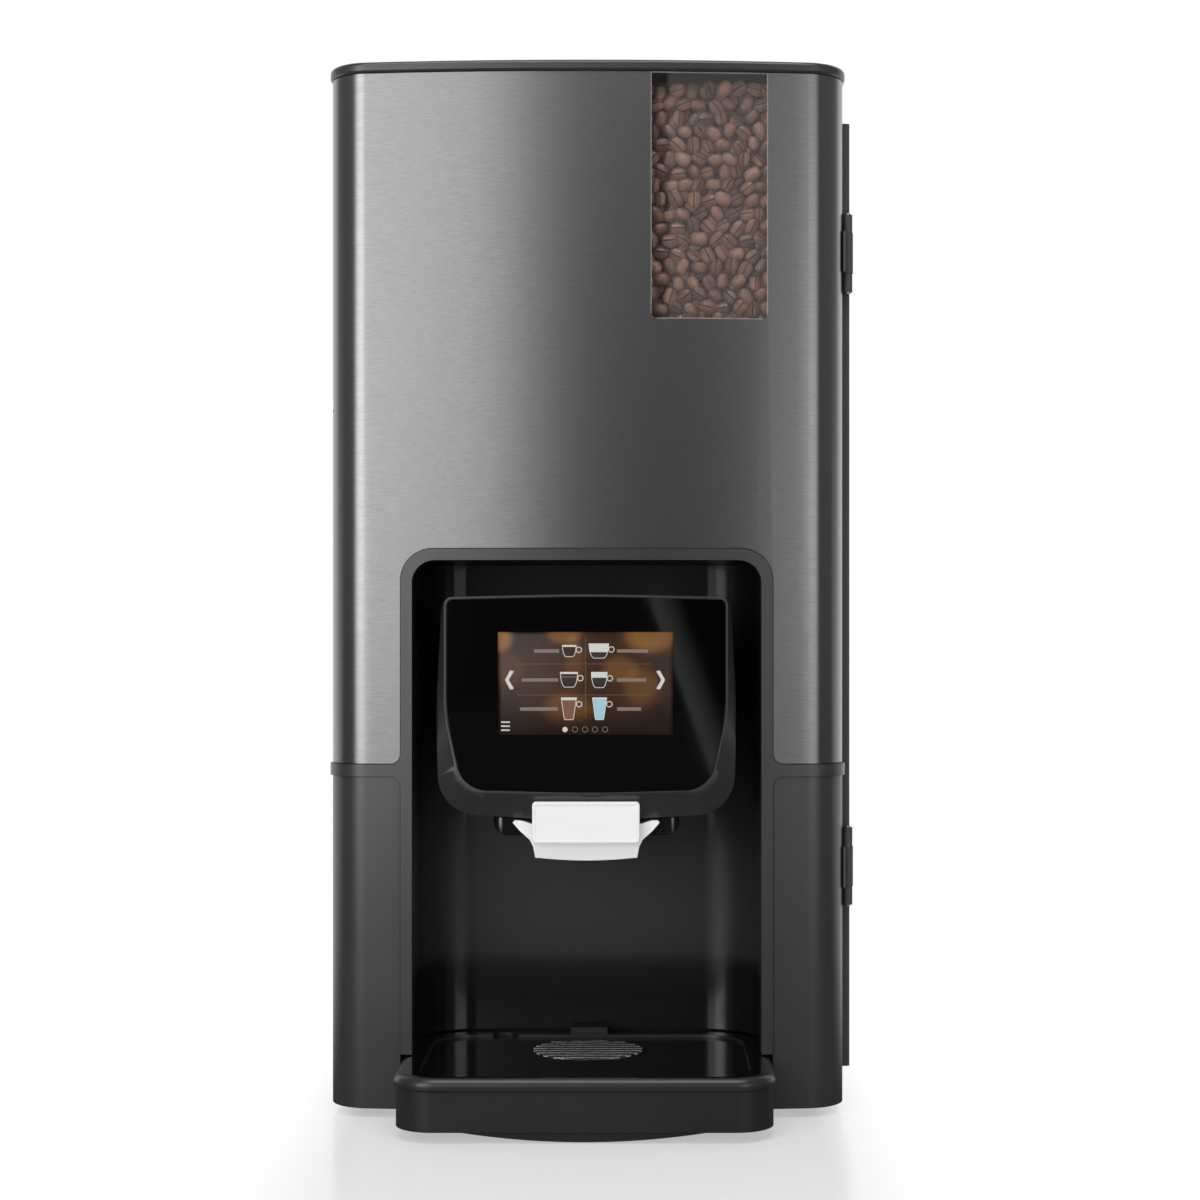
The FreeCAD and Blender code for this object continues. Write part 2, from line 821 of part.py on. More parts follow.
def niche_liner():
    wall = d.liner_wall
    outside = common(
        "liner_outside",
        pad("liner_plan", "XY", d.trim_foot, d.niche_top + wall + 1, niche_plan(wall, liner_rear)),
        arch_block("liner_front", trim_back, liner_rear + 1, d.trim_foot - 1, liner_out, d.niche_top + wall,
                   d.niche_radius + wall),
    )
    inside = common(
        "liner_inside",
        pad("niche_plan", "XY", d.trim_foot - 5, d.niche_top + 1, niche_plan(as_size(0), liner_back)),
        arch_block("niche_front", trim_back - 5, liner_back + 1, d.trim_foot - 6, d.niche_half, d.niche_top,
                   d.niche_radius),
    )
    drink_hole = box("drink_hole", (drink_x[0] - 2, drink_x[1] + 2), (liner_back - 1, liner_rear + 1),
                     (drink_z - 11, drink_z + 11))
    return cut("niche_liner", outside, inside, drink_hole)


def vector(x, y, z):
    return FreeCAD.Vector(float(as_size(x)), float(as_size(y)), float(as_size(z)))


def rounded_path(points, radii, closed):
    """A wire of straight runs with an arc of the given radius at each corner."""
    count = len(points)
    edges, cursor = [], None
    numbers = range(count) if closed else range(1, count - 1)
    arcs = []
    for i in numbers:
        here, before, after = points[i], points[i - 1], points[(i + 1) % count]
        back, ahead = (before - here).normalize(), (after - here).normalize()
        turn = math.pi - back.getAngle(ahead)
        reach = radii[i] * math.tan(turn / 2)
        start, end = here + back * reach, here + ahead * reach
        depth = radii[i] / math.cos(turn / 2) - radii[i]
        middle = here + (back + ahead).normalize() * depth
        arcs.append((start, middle, end))
    cursor = arcs[-1][2] if closed else points[0]
    for start, middle, end in arcs:
        if (start - cursor).Length > 0.001:
            edges.append(Part.LineSegment(cursor, start).toShape())
        edges.append(Part.Arc(start, middle, end).toShape())
        cursor = end
    if not closed:
        edges.append(Part.LineSegment(cursor, points[-1]).toShape())
    return Part.Wire(edges)


def solid_feature(name, shape):
    thing = doc.addObject("Part::Feature", name)
    thing.Shape = shape
    return thing


def pod_wire(y):
    """The screen pod's outline from the front: a soft rectangle with full lower corners."""
    high, mid, low = d.pod_half_top, d.pod_half_middle, d.pod_half_foot
    spots = [
        (-high, d.pod_top, 7.0), (0, d.pod_crown, 1300.0), (high, d.pod_top, 7.0), (mid, d.pod_middle, 500.0),
        (low, d.pod_shoulder, 26.0), (0, d.pod_foot, 700.0), (-low, d.pod_shoulder, 26.0),
        (-mid, d.pod_middle, 500.0),
    ]
    return rounded_path([vector(x, y, z) for x, z, _ in spots], [r for _, _, r in spots], True)


def glass_wire(y, grow=0.0):
    """The glass's outline: nearly straight sides that draw in towards the foot."""
    side, foot = d.glass_half + grow, d.glass_half_foot + grow
    spots = [
        (-side, d.glass_top + grow, 5.0), (0, d.glass_crown + grow, 1300.0), (side, d.glass_top + grow, 5.0),
        (side, d.glass_waist, 120.0), (foot, d.glass_foot - grow, 20.0), (0, d.glass_low - grow, 900.0),
        (-foot, d.glass_foot - grow, 20.0), (-side, d.glass_waist, 120.0),
    ]
    return rounded_path([vector(x, y, z) for x, z, _ in spots], [r for _, _, r in spots], True)


def slab(wire, depth):
    """A flat outline that faces -Y, given a thickness towards +Y."""
    return Part.Face(wire).extrude(FreeCAD.Vector(0, float(as_size(depth)), 0))


def block(xs, ys, zs):
    low, high = vector(xs[0], ys[0], zs[0]), vector(xs[1], ys[1], zs[1])
    return Part.makeBox(high.x - low.x, high.y - low.y, high.z - low.z, low)


stem_ys = (spout_y - 1.5 - d.stem_wall / 2, spout_y - 1.5 + d.stem_wall / 2)
drink_x = (-26.0, 6.0)
drink_z = d.neck_foot + 14


def screen_pod():
    """Bevelled front, hollow behind the glass, with a neck that reaches the niche's back wall."""
    bevel = Part.makeLoft([glass_wire(glass_face, 1.2), pod_wire(bevel_back)], True, True)
    body = slab(pod_wire(bevel_back), pod_back - bevel_back)
    neck_top = d.neck_foot + d.neck_height
    neck = block((-d.neck_half, d.neck_half), (pod_back, liner_back), (d.neck_foot, neck_top))
    shape = bevel.fuse([body, neck])
    gap = d.slide_gap
    holes = [
        slab(glass_wire(glass_face - 1, 0.15), d.glass_wall + 1),
        block(
            (-d.glass_half_foot + 8, d.glass_half_foot - 8), (glass_face, pod_back - 3),
            (d.glass_foot + 12, d.glass_top - 8),
        ),
        block(
            (-d.stem_half - gap, d.stem_half + gap), (stem_ys[0] - gap, stem_ys[1] + gap),
            (d.neck_foot - 1, d.stem_top + 8),
        ),
        block((drink_x[0], drink_x[1]), (stem_ys[1], liner_back + 1), (drink_z - 8, drink_z + 8)),
        block(
            (-d.plate_half - 1.2, d.plate_half + 1.2), (glass_face - 5, plate_rear + 0.6),
            (d.pod_foot - 10, d.plate_foot + d.plate_height + 1.2),
        ),
    ]
    return solid_feature("screen_pod", shape.cut(holes).removeSplitter())


def screen_glass():
    return solid_feature("screen_glass", slab(glass_wire(glass_face), d.glass_wall))


def display_module():
    """The lit panel behind the glass, on its circuit board."""
    low = d.display_foot
    back = glass_face + d.glass_wall
    panel = box("display_panel", (-d.display_half, d.display_half), (back, back + d.display_wall),
                (low, low + d.display_height))
    board = box("display_board", (-d.display_half - 6, d.display_half + 6),
                (back + d.display_wall, pod_back - 3), (low - 8, low + d.display_height + 6))
    return fuse("display_module", panel, board)


plate_front = glass_face - 2
plate_rear = plate_front + d.plate_wall
cover_front = plate_rear + 7
cover_rear = front + d.outlet_rear


def outlet_cover():
    """White outlet body: a winged front with a hollow box behind it."""
    low, top, side, wing = d.outlet_foot, d.outlet_top, d.outlet_half, d.outlet_wing
    tip = top + d.wing_tip
    winged = pad(
        "outlet_wings", "XZ", plate_rear, cover_front,
        [
            (-side, low + 1, d.outlet_belly, 1), (side, low + 1), (side + 1.3, low + 8), (side + 3.6, low + 12.5),
            (side + 10, top + 0.5), (wing, tip - 1.5), (wing - 1.5, tip), (wing - 6, tip - 0.3),
            (side + 3, top + d.wing_rise), (-side - 3, top + d.wing_rise), (-wing + 6, tip - 0.3),
            (-wing + 1.5, tip), (-wing, tip - 1.5), (-side - 10, top + 0.5), (-side - 3.6, low + 12.5),
            (-side - 1.3, low + 8),
        ],
    )
    body = box("outlet_box", (-side, side), (cover_front, cover_rear), (low, top))
    wall = d.outlet_wall
    hollow = box("outlet_hollow", (-side + wall, side - wall), (cover_front, cover_rear - wall),
                 (low + wall, top + 1))
    holes = [
        rod("outlet_hole", "Z", (x, spout_y), d.nozzle_radius + 0.2, low - 2, low + 5)
        for x in (-d.nozzle_pitch, d.nozzle_pitch)
    ]
    return cut("outlet_cover", fuse("outlet_solid", winged, body), hollow, *holes)


def outlet_plate():
    """White front plate with a raised rim round a shallow recess."""
    half, foot, top, rim = d.plate_half, d.plate_foot, d.plate_foot + d.plate_height, d.plate_rim
    body = pad(
        "outlet_slab", "XZ", plate_front, plate_rear,
        rounded(-half, half, foot, top, d.plate_corner, d.plate_corner),
    )
    slab = soften(body, "Fillet", as_size(0.9), lambda edge: near(edge.YMax, plate_front))
    recess = pad(
        "outlet_recess", "XZ", plate_front - 2, plate_front + d.plate_recess,
        rounded(-half + rim, half - rim, foot + rim, top - rim, d.plate_corner - 1.4, d.plate_corner - 1.4),
    )
    return cut("outlet_plate", slab, recess)


def outlet_carriage():
    """Black slide: a saddle over the outlet box, a stem up into the pod's neck, and two nozzles."""
    foot = d.outlet_top
    top = foot + d.carriage_wall
    low, side, bend = foot - d.carriage_drop, d.carriage_half, d.carriage_corner
    ys = (cover_front + 0.5, cover_rear + 12)
    arched = pad(
        "carriage_front", "XZ", ys[0] - 1, ys[1] + 1,
        [
            (-side + bend, low), (side - bend, low, bend, 1), (side, low + bend), (side, top + 2.5),
            (side / 2, top + 0.2), (-side / 2, top + 0.2), (-side, top + 2.5), (-side, low + bend, bend, 1),
        ],
    )
    saddle = common(
        "carriage_block", arched,
        pad("carriage_plan", "XY", low - 1, top + 5, rounded(-side, side, ys[0], ys[1], as_size(6), as_size(14))),
    )
    room = box("outlet_room", (-d.outlet_half - 0.3, d.outlet_half + 0.3), (ys[0] - 1, cover_rear + 0.3),
               (low - 1, foot))
    plate = cut("carriage_plate", saddle, room)
    hump = box("carriage_hump", (-d.stem_half - 8, d.stem_half + 8), (stem_ys[0], stem_ys[1] + 18),
               (top, top + 8))
    stem = box("carriage_stem", (-d.stem_half, d.stem_half), stem_ys, (top, d.stem_top))
    solids = [plate, hump, stem]
    bores = []
    for x in (-d.nozzle_pitch, d.nozzle_pitch):
        solids.append(rod("nozzle", "Z", (x, spout_y), d.nozzle_radius, d.nozzle_foot, foot + 1))
        bores.append(rod("nozzle_bore", "Z", (x, spout_y), d.nozzle_bore, d.nozzle_foot - 1, foot + 2))
    return cut("outlet_carriage", fuse("carriage_solid", *solids), *bores)


carrier_top = door_foot + 1 + d.carrier_wall
tray_seat = carrier_top + d.runner_height
tray_rear = liner_back - d.tray_rear_gap
plate_rear_y = tray_rear - d.back_ledge
plate_foot_z = d.rim_top - d.plate_drop - d.drip_plate_wall


def tray_carrier():
    """The shelf in the door's foot that the drip tray slides on, with two runners."""
    foot = door_foot + 1
    start = front + d.carrier_inset
    wide = box("carrier_front", (-carrier_half, carrier_half), (start, door_back), (foot, carrier_top))
    narrow = box("carrier_back", (-liner_out, liner_out), (door_back, liner_back), (foot, carrier_top))
    runners = [
        box("runner", (x - 4, x + 4), (start + 2, tray_rear), (carrier_top, tray_seat))
        for x in (-d.niche_half + 15, d.niche_half - 15)
    ]
    return fuse("tray_carrier", wide, narrow, *runners)


def drip_tray():
    """A basin with a shallow back that goes into the niche and a deep front that reaches out of it."""
    rim_foot = d.rim_top - d.rim_height
    step = front - 4
    rim = pad(
        "tray_rim", "XY", rim_foot, d.rim_top,
        rounded(-d.rim_half, d.rim_half, tray_front, tray_rear, d.tray_corner, as_size(8)),
    )
    soften(rim, "Fillet", d.rim_round, lambda edge: near(edge.ZMin, d.rim_top))
    soften(rim, "Fillet", d.rim_lip, lambda edge: near(edge.ZMax, rim_foot))
    deep_half = d.rim_half - 1.5
    deep = pad(
        "tray_deep", "XY", d.tray_foot, rim_foot,
        rounded(-deep_half, deep_half, tray_front + 1.5, step, d.tray_corner - 1.5),
    )
    shallow = pad(
        "tray_shallow", "XY", tray_seat, rim_foot,
        rounded(-d.rim_half + 9.5, d.rim_half - 9.5, step, tray_rear - 1.5, None, as_size(30)),
    )
    bow = (d.belly_half * d.belly_half + d.belly_drop * d.belly_drop) / (2 * d.belly_drop)
    belly = pad(
        "tray_belly", "XZ", tray_front + 4, step - 8,
        [(-d.belly_half, d.tray_foot, bow, 1), (d.belly_half, d.tray_foot), (d.belly_half, d.tray_foot + 2),
         (-d.belly_half, d.tray_foot + 2)],
    )
    lug = box("tray_lug", (-d.lug_half, d.lug_half), (plate_rear_y, tray_rear - 1.5), (rim_foot, d.lug_top))
    basin_front = tray_front + d.front_ledge + d.tray_wall
    basin = pad(
        "tray_basin", "XY", tray_seat + d.tray_wall, plate_foot_z,
        rounded(-d.plate_edge + 2.5, d.plate_edge - 2.5, basin_front, tray_rear - 4, as_size(6), as_size(30)),
    )
    recess = pad("tray_recess", "XY", plate_foot_z, d.rim_top + 1, plate_outline(d.slide_gap))
    solid = fuse("tray_solid", rim, deep, shallow, belly, lug)
    return cut("drip_tray", solid, basin, recess, float_well("tray_float_well"))


def plate_outline(grow):
    return rounded(
        -d.plate_edge - grow, d.plate_edge + grow, tray_front + d.front_ledge - grow, plate_rear_y + grow,
        14 + as_size(grow), 28 + as_size(grow),
    )


float_y = tray_rear - 12.5


def float_well(name):
    """The room that the float rises in, between the plate's back edge and the rim."""
    return rod(name, "Z", (d.float_place, float_y), d.float_radius + 1.5, plate_foot_z - 1, d.rim_top + 1)


def drip_plate():
    """The glossy plate over the tray, with a seat for the grille and a notch for the float."""
    top = plate_foot_z + d.drip_plate_wall
    plate = pad("plate_sheet", "XY", plate_foot_z, top, plate_outline(as_size(0)))
    seat_radius = d.grille_radius + d.slide_gap
    seat = rod("grille_seat", "Z", (0, spout_y), seat_radius, plate_foot_z + d.seat_wall, top + 1)
    drain = rod("grille_drain", "Z", (0, spout_y), d.grille_radius - d.grille_rim + 0.5, plate_foot_z - 1,
                top + 1)
    return cut("drip_plate", plate, seat, drain, float_well("plate_float_notch"))


def drip_grille():
    """A round grille: a ring with straight slats from left to right."""
    foot = plate_foot_z + d.seat_wall
    top = foot + d.grille_wall
    disc = rod("grille_disc", "Z", (0, spout_y), d.grille_radius, foot, top)
    count = int(2 * float(d.grille_radius) / float(d.slat_pitch)) - 1
    slats = [
        box(
            "slat", (-d.grille_radius, d.grille_radius),
            (
                spout_y + d.slat_pitch * (i - (count - 1) / 2) - d.slat_width / 2,
                spout_y + d.slat_pitch * (i - (count - 1) / 2) + d.slat_width / 2,
            ),
            (foot, top),
        )
        for i in range(count)
    ]
    ring = cut(
        "grille_ring", rod("grille_ring_disc", "Z", (0, spout_y), d.grille_radius, foot, top - d.slat_proud),
        rod("grille_ring_hole", "Z", (0, spout_y), d.grille_radius - d.grille_rim, foot - 1, top + 1),
    )
    return fuse("drip_grille", ring, common("grille_slats", fuse("grille_bars", *slats), disc))


def tray_float():
    foot = tray_seat + d.tray_wall
    top = foot + d.float_height
    radius = d.float_radius
    return turned(
        "tray_float", "Z", (d.float_place, float_y, as_size(0)),
        [(0, foot), (radius, foot), (radius, top - 2), (radius - 2, top), (0, top)],
    )


# Hinges and lock


def hinge_rail():
    """A long strip down the housing's right side, with the fixed knuckles of both hinges."""
    strip = pad(
        "rail_strip", "XY", d.rail_foot, d.rail_top,
        [
            (half, housing_front), (half + d.rail_out - 1.5, housing_front),
            (half + d.rail_out, housing_front + 1.5), (half + d.rail_out, housing_front + d.rail_depth),
            (half, housing_front + d.rail_depth),
        ],
    )
    solids, bores = [strip], []
    for height in hinge_heights:
        for start, end in (
            (height - d.knuckle_end, height - d.knuckle_half - d.knuckle_gap),
            (height + d.knuckle_half + d.knuckle_gap, height + d.knuckle_end),
        ):
            solids.append(rod("rail_knuckle", "Z", (hinge_x, hinge_y), d.knuckle_radius, start, end))
            web = (hinge_x - d.knuckle_radius + 0.7, hinge_x + d.knuckle_radius - 0.7)
            solids.append(box("rail_web", web, (hinge_y, housing_front + 1), (start, end)))
            bores.append(rod("rail_bore", "Z", (hinge_x, hinge_y), d.pin_radius, start - 1, end + 1))
    return cut("hinge_rail", fuse("rail_solid", *solids), *bores)


def hinge_leaves():
    """The door's half of both hinges: a leaf on the side wall with the thick middle knuckle."""
    leaves = []
    for height in hinge_heights:
        zs = (height - d.knuckle_half, height + d.knuckle_half)
        leaf = box("leaf", (half, half + d.leaf_wall), (hinge_y - d.leaf_depth, hinge_y), zs)
        knuckle = rod("leaf_knuckle", "Z", (hinge_x, hinge_y), d.door_knuckle_radius, *zs)
        web = box("leaf_web", (half, hinge_x - 1), (hinge_y - 2.5, hinge_y), zs)
        bore = rod("leaf_bore", "Z", (hinge_x, hinge_y), d.pin_radius + d.pin_gap, zs[0] - 1, zs[1] + 1)
        leaves.append(cut("hinge_leaf", fuse("leaf_solid", leaf, knuckle, web), bore))
    return together("hinge_leaves", leaves)


def hinge_pins():
    """Two upright pins for the door and two level ones for the lid."""
    pins = [
        rod("door_pin", "Z", (hinge_x, hinge_y), d.pin_radius, height - d.knuckle_end - 1,
            height + d.knuckle_end + 1)
        for height in hinge_heights
    ]
    reach = d.lid_knuckle_half + d.knuckle_gap + 12
    for x in (-d.lid_hinge_place, d.lid_hinge_place):
        pins.append(rod("lid_pin", "X", (lid_hinge_y, lid_hinge_z), d.lid_pin_radius, x - reach, x + reach))
    return together("hinge_pins", pins)


lock_y = door_back - d.lock_back


def door_lock():
    """The lock's barrel, sunk into the door's left side."""
    face, bore = -half + d.lock_sunk, d.plug_radius + d.pin_gap
    return turned(
        "door_lock", "X", (as_size(0), lock_y, d.lock_height),
        [(bore, face), (d.lock_radius, face), (d.lock_radius, -half + 2.8), (bore, -half + 2.8)],
    )


def lock_cam():
    """The lock's plug with its tongue, which points down when it is open."""
    plug = rod("lock_plug", "X", (lock_y, d.lock_height), d.plug_radius,
               -half + d.lock_sunk - d.lock_plug_proud, -half + 3.1)
    xs = (-half + 3.1, -half + 3.1 + d.cam_wall)
    hub = rod("cam_hub", "X", (lock_y, d.lock_height), d.cam_width / 2 + 2, *xs)
    tongue = box("cam_tongue", xs, (lock_y - d.cam_width / 2, lock_y + d.cam_width / 2),
                 (d.lock_height - d.cam_length, d.lock_height))
    slot = box("key_slot", (-half - 3, -half + 2), (lock_y - 0.8, lock_y + 0.8),
               (d.lock_height - 3, d.lock_height + 3))
    return cut("lock_cam", fuse("cam_solid", plug, hub, tongue), slot)


# Lid and housing


def lid():
    """A shallow hollow cover with a skirt, hinged at its back edge."""
    shape = pad("lid_sheet", "XY", housing_top, d.total_height, front_outline(-d.lid_overhang, lid_back))
    soften(shape, "Fillet", as_size(2.5),
           lambda edge: near(edge.ZMin, d.total_height) and not near(edge.YMin, lid_back))
    soften(shape, "Chamfer", as_size(1.2),
           lambda edge: near(edge.ZMax, housing_top) and not near(edge.YMin, lid_back))
    inner = half - d.top_rail - d.housing_wall - 1
    skirt_ys = (housing_front + 10, back_face - d.top_bar_depth - 1)
    skirt = cut(
        "lid_skirt",
        box("skirt_out", (-inner, inner), skirt_ys, (housing_top - d.lid_skirt, d.total_height - d.lid_wall)),
        box("skirt_in", (-inner + 2, inner - 2), (skirt_ys[0] + 2, skirt_ys[1] - 2),
            (housing_top - d.lid_skirt - 1, d.total_height)),
    )
    hollow = box("lid_hollow", (-inner - 8, inner + 8), (front + 16, lid_back - 8),
                 (housing_top - 1, d.total_height - d.lid_wall))
    solids = [cut("lid_cover", shape, hollow), skirt]
    bores = []
    for x in (-d.lid_hinge_place, d.lid_hinge_place):
        xs = (x - d.lid_knuckle_half, x + d.lid_knuckle_half)
        centre = (lid_hinge_y, lid_hinge_z)
        solids.append(rod("lid_knuckle", "X", centre, d.lid_knuckle_radius, *xs))
        solids.append(
            box("lid_web", xs, (lid_back - 1, lid_hinge_y), (lid_hinge_z - 3, lid_hinge_z + 3))
        )
        bores.append(rod("lid_bore", "X", centre, d.lid_pin_radius + d.pin_gap, xs[0] - 1, xs[1] + 1))
    return cut("lid", fuse("lid_solid", *solids), *bores)


def top_frame():
    """Two rails and a back bar under the lid, with the fixed strip that holds its hinges."""
    zs = (housing_top - 1.5 - d.top_rail_height, housing_top - 1.5)
    bar_front = back_face - d.top_bar_depth
    solids = [
        box("top_rail", (x, x + d.top_rail), (flange_back, bar_front), zs)
        for x in (-inner_half, inner_half - d.top_rail)
    ]
    solids.append(box("top_bar", (-inner_half, inner_half), (bar_front, back_face), zs))
    strip_front = lid_hinge_y + d.lid_edge_gap
    solids.append(box("top_riser", (-inner_half, inner_half), (strip_front, panel_back), (zs[1], housing_top)))
    wide = half + d.lid_overhang
    solids.append(box("top_strip", (-wide, wide), (strip_front, panel_back), (housing_top, d.total_height)))
    bores = []
    for x in (-d.lid_hinge_place, d.lid_hinge_place):
        for side in (-1, 1):
            near_end = x + side * (d.lid_knuckle_half + d.knuckle_gap)
            xs = sorted_pair(near_end, near_end + side * 11)
            centre = (lid_hinge_y, lid_hinge_z)
            solids.append(rod("strip_knuckle", "X", centre, d.lid_knuckle_radius, *xs))
            solids.append(
                box("strip_web", xs, (lid_hinge_y, strip_front + 1), (lid_hinge_z - 3, lid_hinge_z + 3))
            )
            bores.append(rod("strip_bore", "X", centre, d.lid_pin_radius, xs[0] - 1, xs[1] + 1))
    return cut("top_frame", fuse("top_solid", *solids), *bores)


def side_panel(name, side):
    """A folded side sheet with a front flange and a block of vent slots low at the back."""
    outer, inner, lip = side * half, side * inner_half, side * (half - d.flange)
    loop = [
        (outer, housing_front), (outer, panel_back), (inner, panel_back), (inner, flange_back),
        (lip, flange_back), (lip, housing_front),
    ]
    sheet_metal = pad(name + "_sheet", "XY", door_foot, housing_top - 0.5, loop)
    vents = []
    vent_back = panel_back - d.side_vent_inset
    rows = 8
    for row in range(rows):
        z = d.foot_height + d.side_vent_foot + d.vent_pitch * row
        vents.append(
            box("vent", sorted_pair(outer + side, inner - side),
                (vent_back - d.vent_length, vent_back), (z, z + d.vent_width))
        )
    return sheet_metal, vents


def left_side_panel():
    sheet_metal, vents = side_panel("left_side", -1)
    slot = box(
        "lock_slot", (-inner_half, -half + d.flange - 4), (housing_front - 1, flange_back + 1),
        (d.lock_height - d.cam_length - 1, d.lock_height + d.cam_width),
    )
    return cut("left_side_panel", sheet_metal, slot, *vents)


def right_side_panel():
    sheet_metal, vents = side_panel("right_side", 1)
    return cut("right_side_panel", sheet_metal, *vents)


def screw_spots():
    """Where the screws hold the back panel: down both edges."""
    low, high = base_top + d.screw_inset, housing_top - d.screw_drop
    return [
        (x, low + (high - low) * share)
        for x in (-inner_half + 9, inner_half - 9)
        for share in (0.0, 0.333, 0.667, 1.0)
    ]


def back_panel():
    """The back sheet, with slots for the fan, vents, and holes for water, power and screws."""
    plain = box("back_sheet", (-inner_half, inner_half), (back_face, panel_back),
                (d.foot_height, housing_top - 1.5))
    ys = (back_face - 1, panel_back + 1)
    holes = [rod("water_hole", "Y", (d.water_x, d.water_z), d.water_bore + 3, *ys)]
    wide, high = d.power_width / 2, d.power_height / 2
    holes.append(
        box("power_hole", (d.power_x - wide, d.power_x + wide), ys, (d.power_z - high, d.power_z + high))
    )
    for x, z in screw_spots():
        holes.append(rod("screw_hole", "Y", (x, z), d.screw_shank, *ys))
    for row in range(-3, 4):
        reach = root(d.fan_radius * d.fan_radius - (row * d.vent_pitch) * (row * d.vent_pitch))
        z = fan_z + row * d.vent_pitch
        holes.append(
            box("fan_slot", (d.fan_x - reach, d.fan_x + reach), ys, (z - 2.5, z + 2.5))
        )
    for row in range(10):
        z = housing_top - d.back_vent_drop + d.vent_pitch * row
        vent_left = -inner_half + d.back_vent_inset
        holes.append(box("back_vent", (vent_left, vent_left + d.back_vent_length), ys, (z, z + d.vent_width)))
    return cut("back_panel", plain, *holes)


def panel_screws():
    return together(
        "panel_screws",
        [
            turned(
                "screw", "Y", (x, as_size(0), z),
                [
                    (0, back_face), (d.screw_shank, back_face), (d.screw_shank, panel_back),
                    (d.screw_radius, panel_back), (d.screw_radius, panel_back + 1),
                    (d.screw_radius - 1, panel_back + d.screw_head), (0, panel_back + d.screw_head),
                ],
            )
            for x, z in screw_spots()
        ],
    )


def foot_spots():
    return [
        (x, y)
        for x in (-foot_x, foot_x)
        for y in (housing_front + d.foot_inset, panel_back - d.foot_inset)
    ]


def base_plate():
    """The floor of the housing, with a notch in front for the door's niche and tray."""
    notch = notch_x
    notch_back = liner_rear + d.notch_gap
    outline = [
        (-inner_half, flange_back), (-notch, flange_back), (-notch, notch_back), (notch, notch_back),
        (notch, flange_back), (inner_half, flange_back), (inner_half, back_face), (-inner_half, back_face),
    ]
    holes = [(x, y, d.stud_radius + 0.1) for x, y in foot_spots()]
    return pad("base_plate", "XY", d.foot_height, base_top, outline, *holes)


def feet():
    """Four round levelling feet on threaded studs."""
    return together(
        "feet",
        [
            turned(
                "foot", "Z", (x, y, as_size(0)),
                [
                    (0, 0), (d.foot_radius - 1, 0), (d.foot_radius, 1), (d.foot_radius, d.foot_height - 3),
                    (d.foot_radius - 4, d.foot_height), (d.stud_radius, d.foot_height),
                    (d.stud_radius, d.foot_height + d.stud_height), (0, d.foot_height + d.stud_height),
                ],
            )
            for x, y in foot_spots()
        ],
    )


trough_xs = (d.canister_split - d.trough_offset, d.canister_split + d.trough_offset)


def chassis():
    """The upright bulkhead, and the shelf in front of it that carries hopper, grinder and canisters."""
    bulkhead = box("bulkhead", (-inner_half, inner_half), (d.bulkhead_place, bulkhead_back),
                   (base_top, d.bulkhead_top))
    shelf = box("shelf", (-inner_half, inner_half), (flange_back, d.bulkhead_place),
                (d.shelf_height, shelf_top))
    zs = (d.shelf_height - 1, shelf_top + 1)
    holes = [rod("neck_hole", "Z", (d.grinder_x, d.grinder_y), d.neck_radius, *zs)]
    for x in trough_xs:
        holes.append(rod("drop_hole", "Z", (x, drop_y), d.drop_radius, *zs))
    ys = (d.bulkhead_place - 1, bulkhead_back + 1)
    holes.append(rod("hot_hole", "Y", (hot_x, hot_z), d.pipe_radius + 1, *ys))
    holes.append(rod("mix_hole", "Y", (d.boiler_x, mix_z), d.pipe_radius + 1, *ys))
    return cut("chassis", fuse("chassis_solid", bulkhead, shelf), *holes)


# Beans and grinder

hopper_front = front + d.hopper_front
hopper_top = housing_top - d.lid_skirt - 0.8


def hopper_solid(name, inset, foot, top):
    """The hopper's shape at an inset from its outside: a box on a tapered floor."""
    xs = (d.hopper_left + inset, d.hopper_right - inset)
    ys = (hopper_front + inset, d.hopper_back - inset)
    neck = d.neck_radius - inset
    low = (d.grinder_x - neck, d.grinder_x + neck, d.grinder_y - neck, d.grinder_y + neck)
    upper = box(name + "_box", xs, ys, (d.hopper_foot, top))
    lower = taper(name + "_floor", low, (xs[0], xs[1], ys[0], ys[1]), (foot, d.hopper_foot))
    return [upper, lower]


def bean_hopper():
    """A clear bin whose tall front stands right behind the window and whose floor runs to a neck."""
    outside = fuse(
        "hopper_outside", *hopper_solid("hopper_out", as_size(0), shelf_top, hopper_top),
        rod("hopper_neck", "Z", (d.grinder_x, d.grinder_y), d.neck_radius, d.shelf_height, shelf_top),
    )
    inside = fuse(
        "hopper_inside", *hopper_solid("hopper_in", d.hopper_wall, shelf_top, hopper_top + 5),
        rod("hopper_bore", "Z", (d.grinder_x, d.grinder_y), d.neck_radius - d.hopper_wall,
            d.shelf_height - 1, shelf_top + 1),
    )
    return cut("bean_hopper", outside, inside)


def coffee_beans():
    return fuse(
        "coffee_beans",
        *hopper_solid("beans", d.hopper_wall + 0.2, shelf_top + 1, hopper_top - 1.5)
    )


grinder_foot = d.shelf_height - d.grinder_height
burr_top = d.shelf_height - 12


def grinder_centre():
    return (d.grinder_x, d.grinder_y)


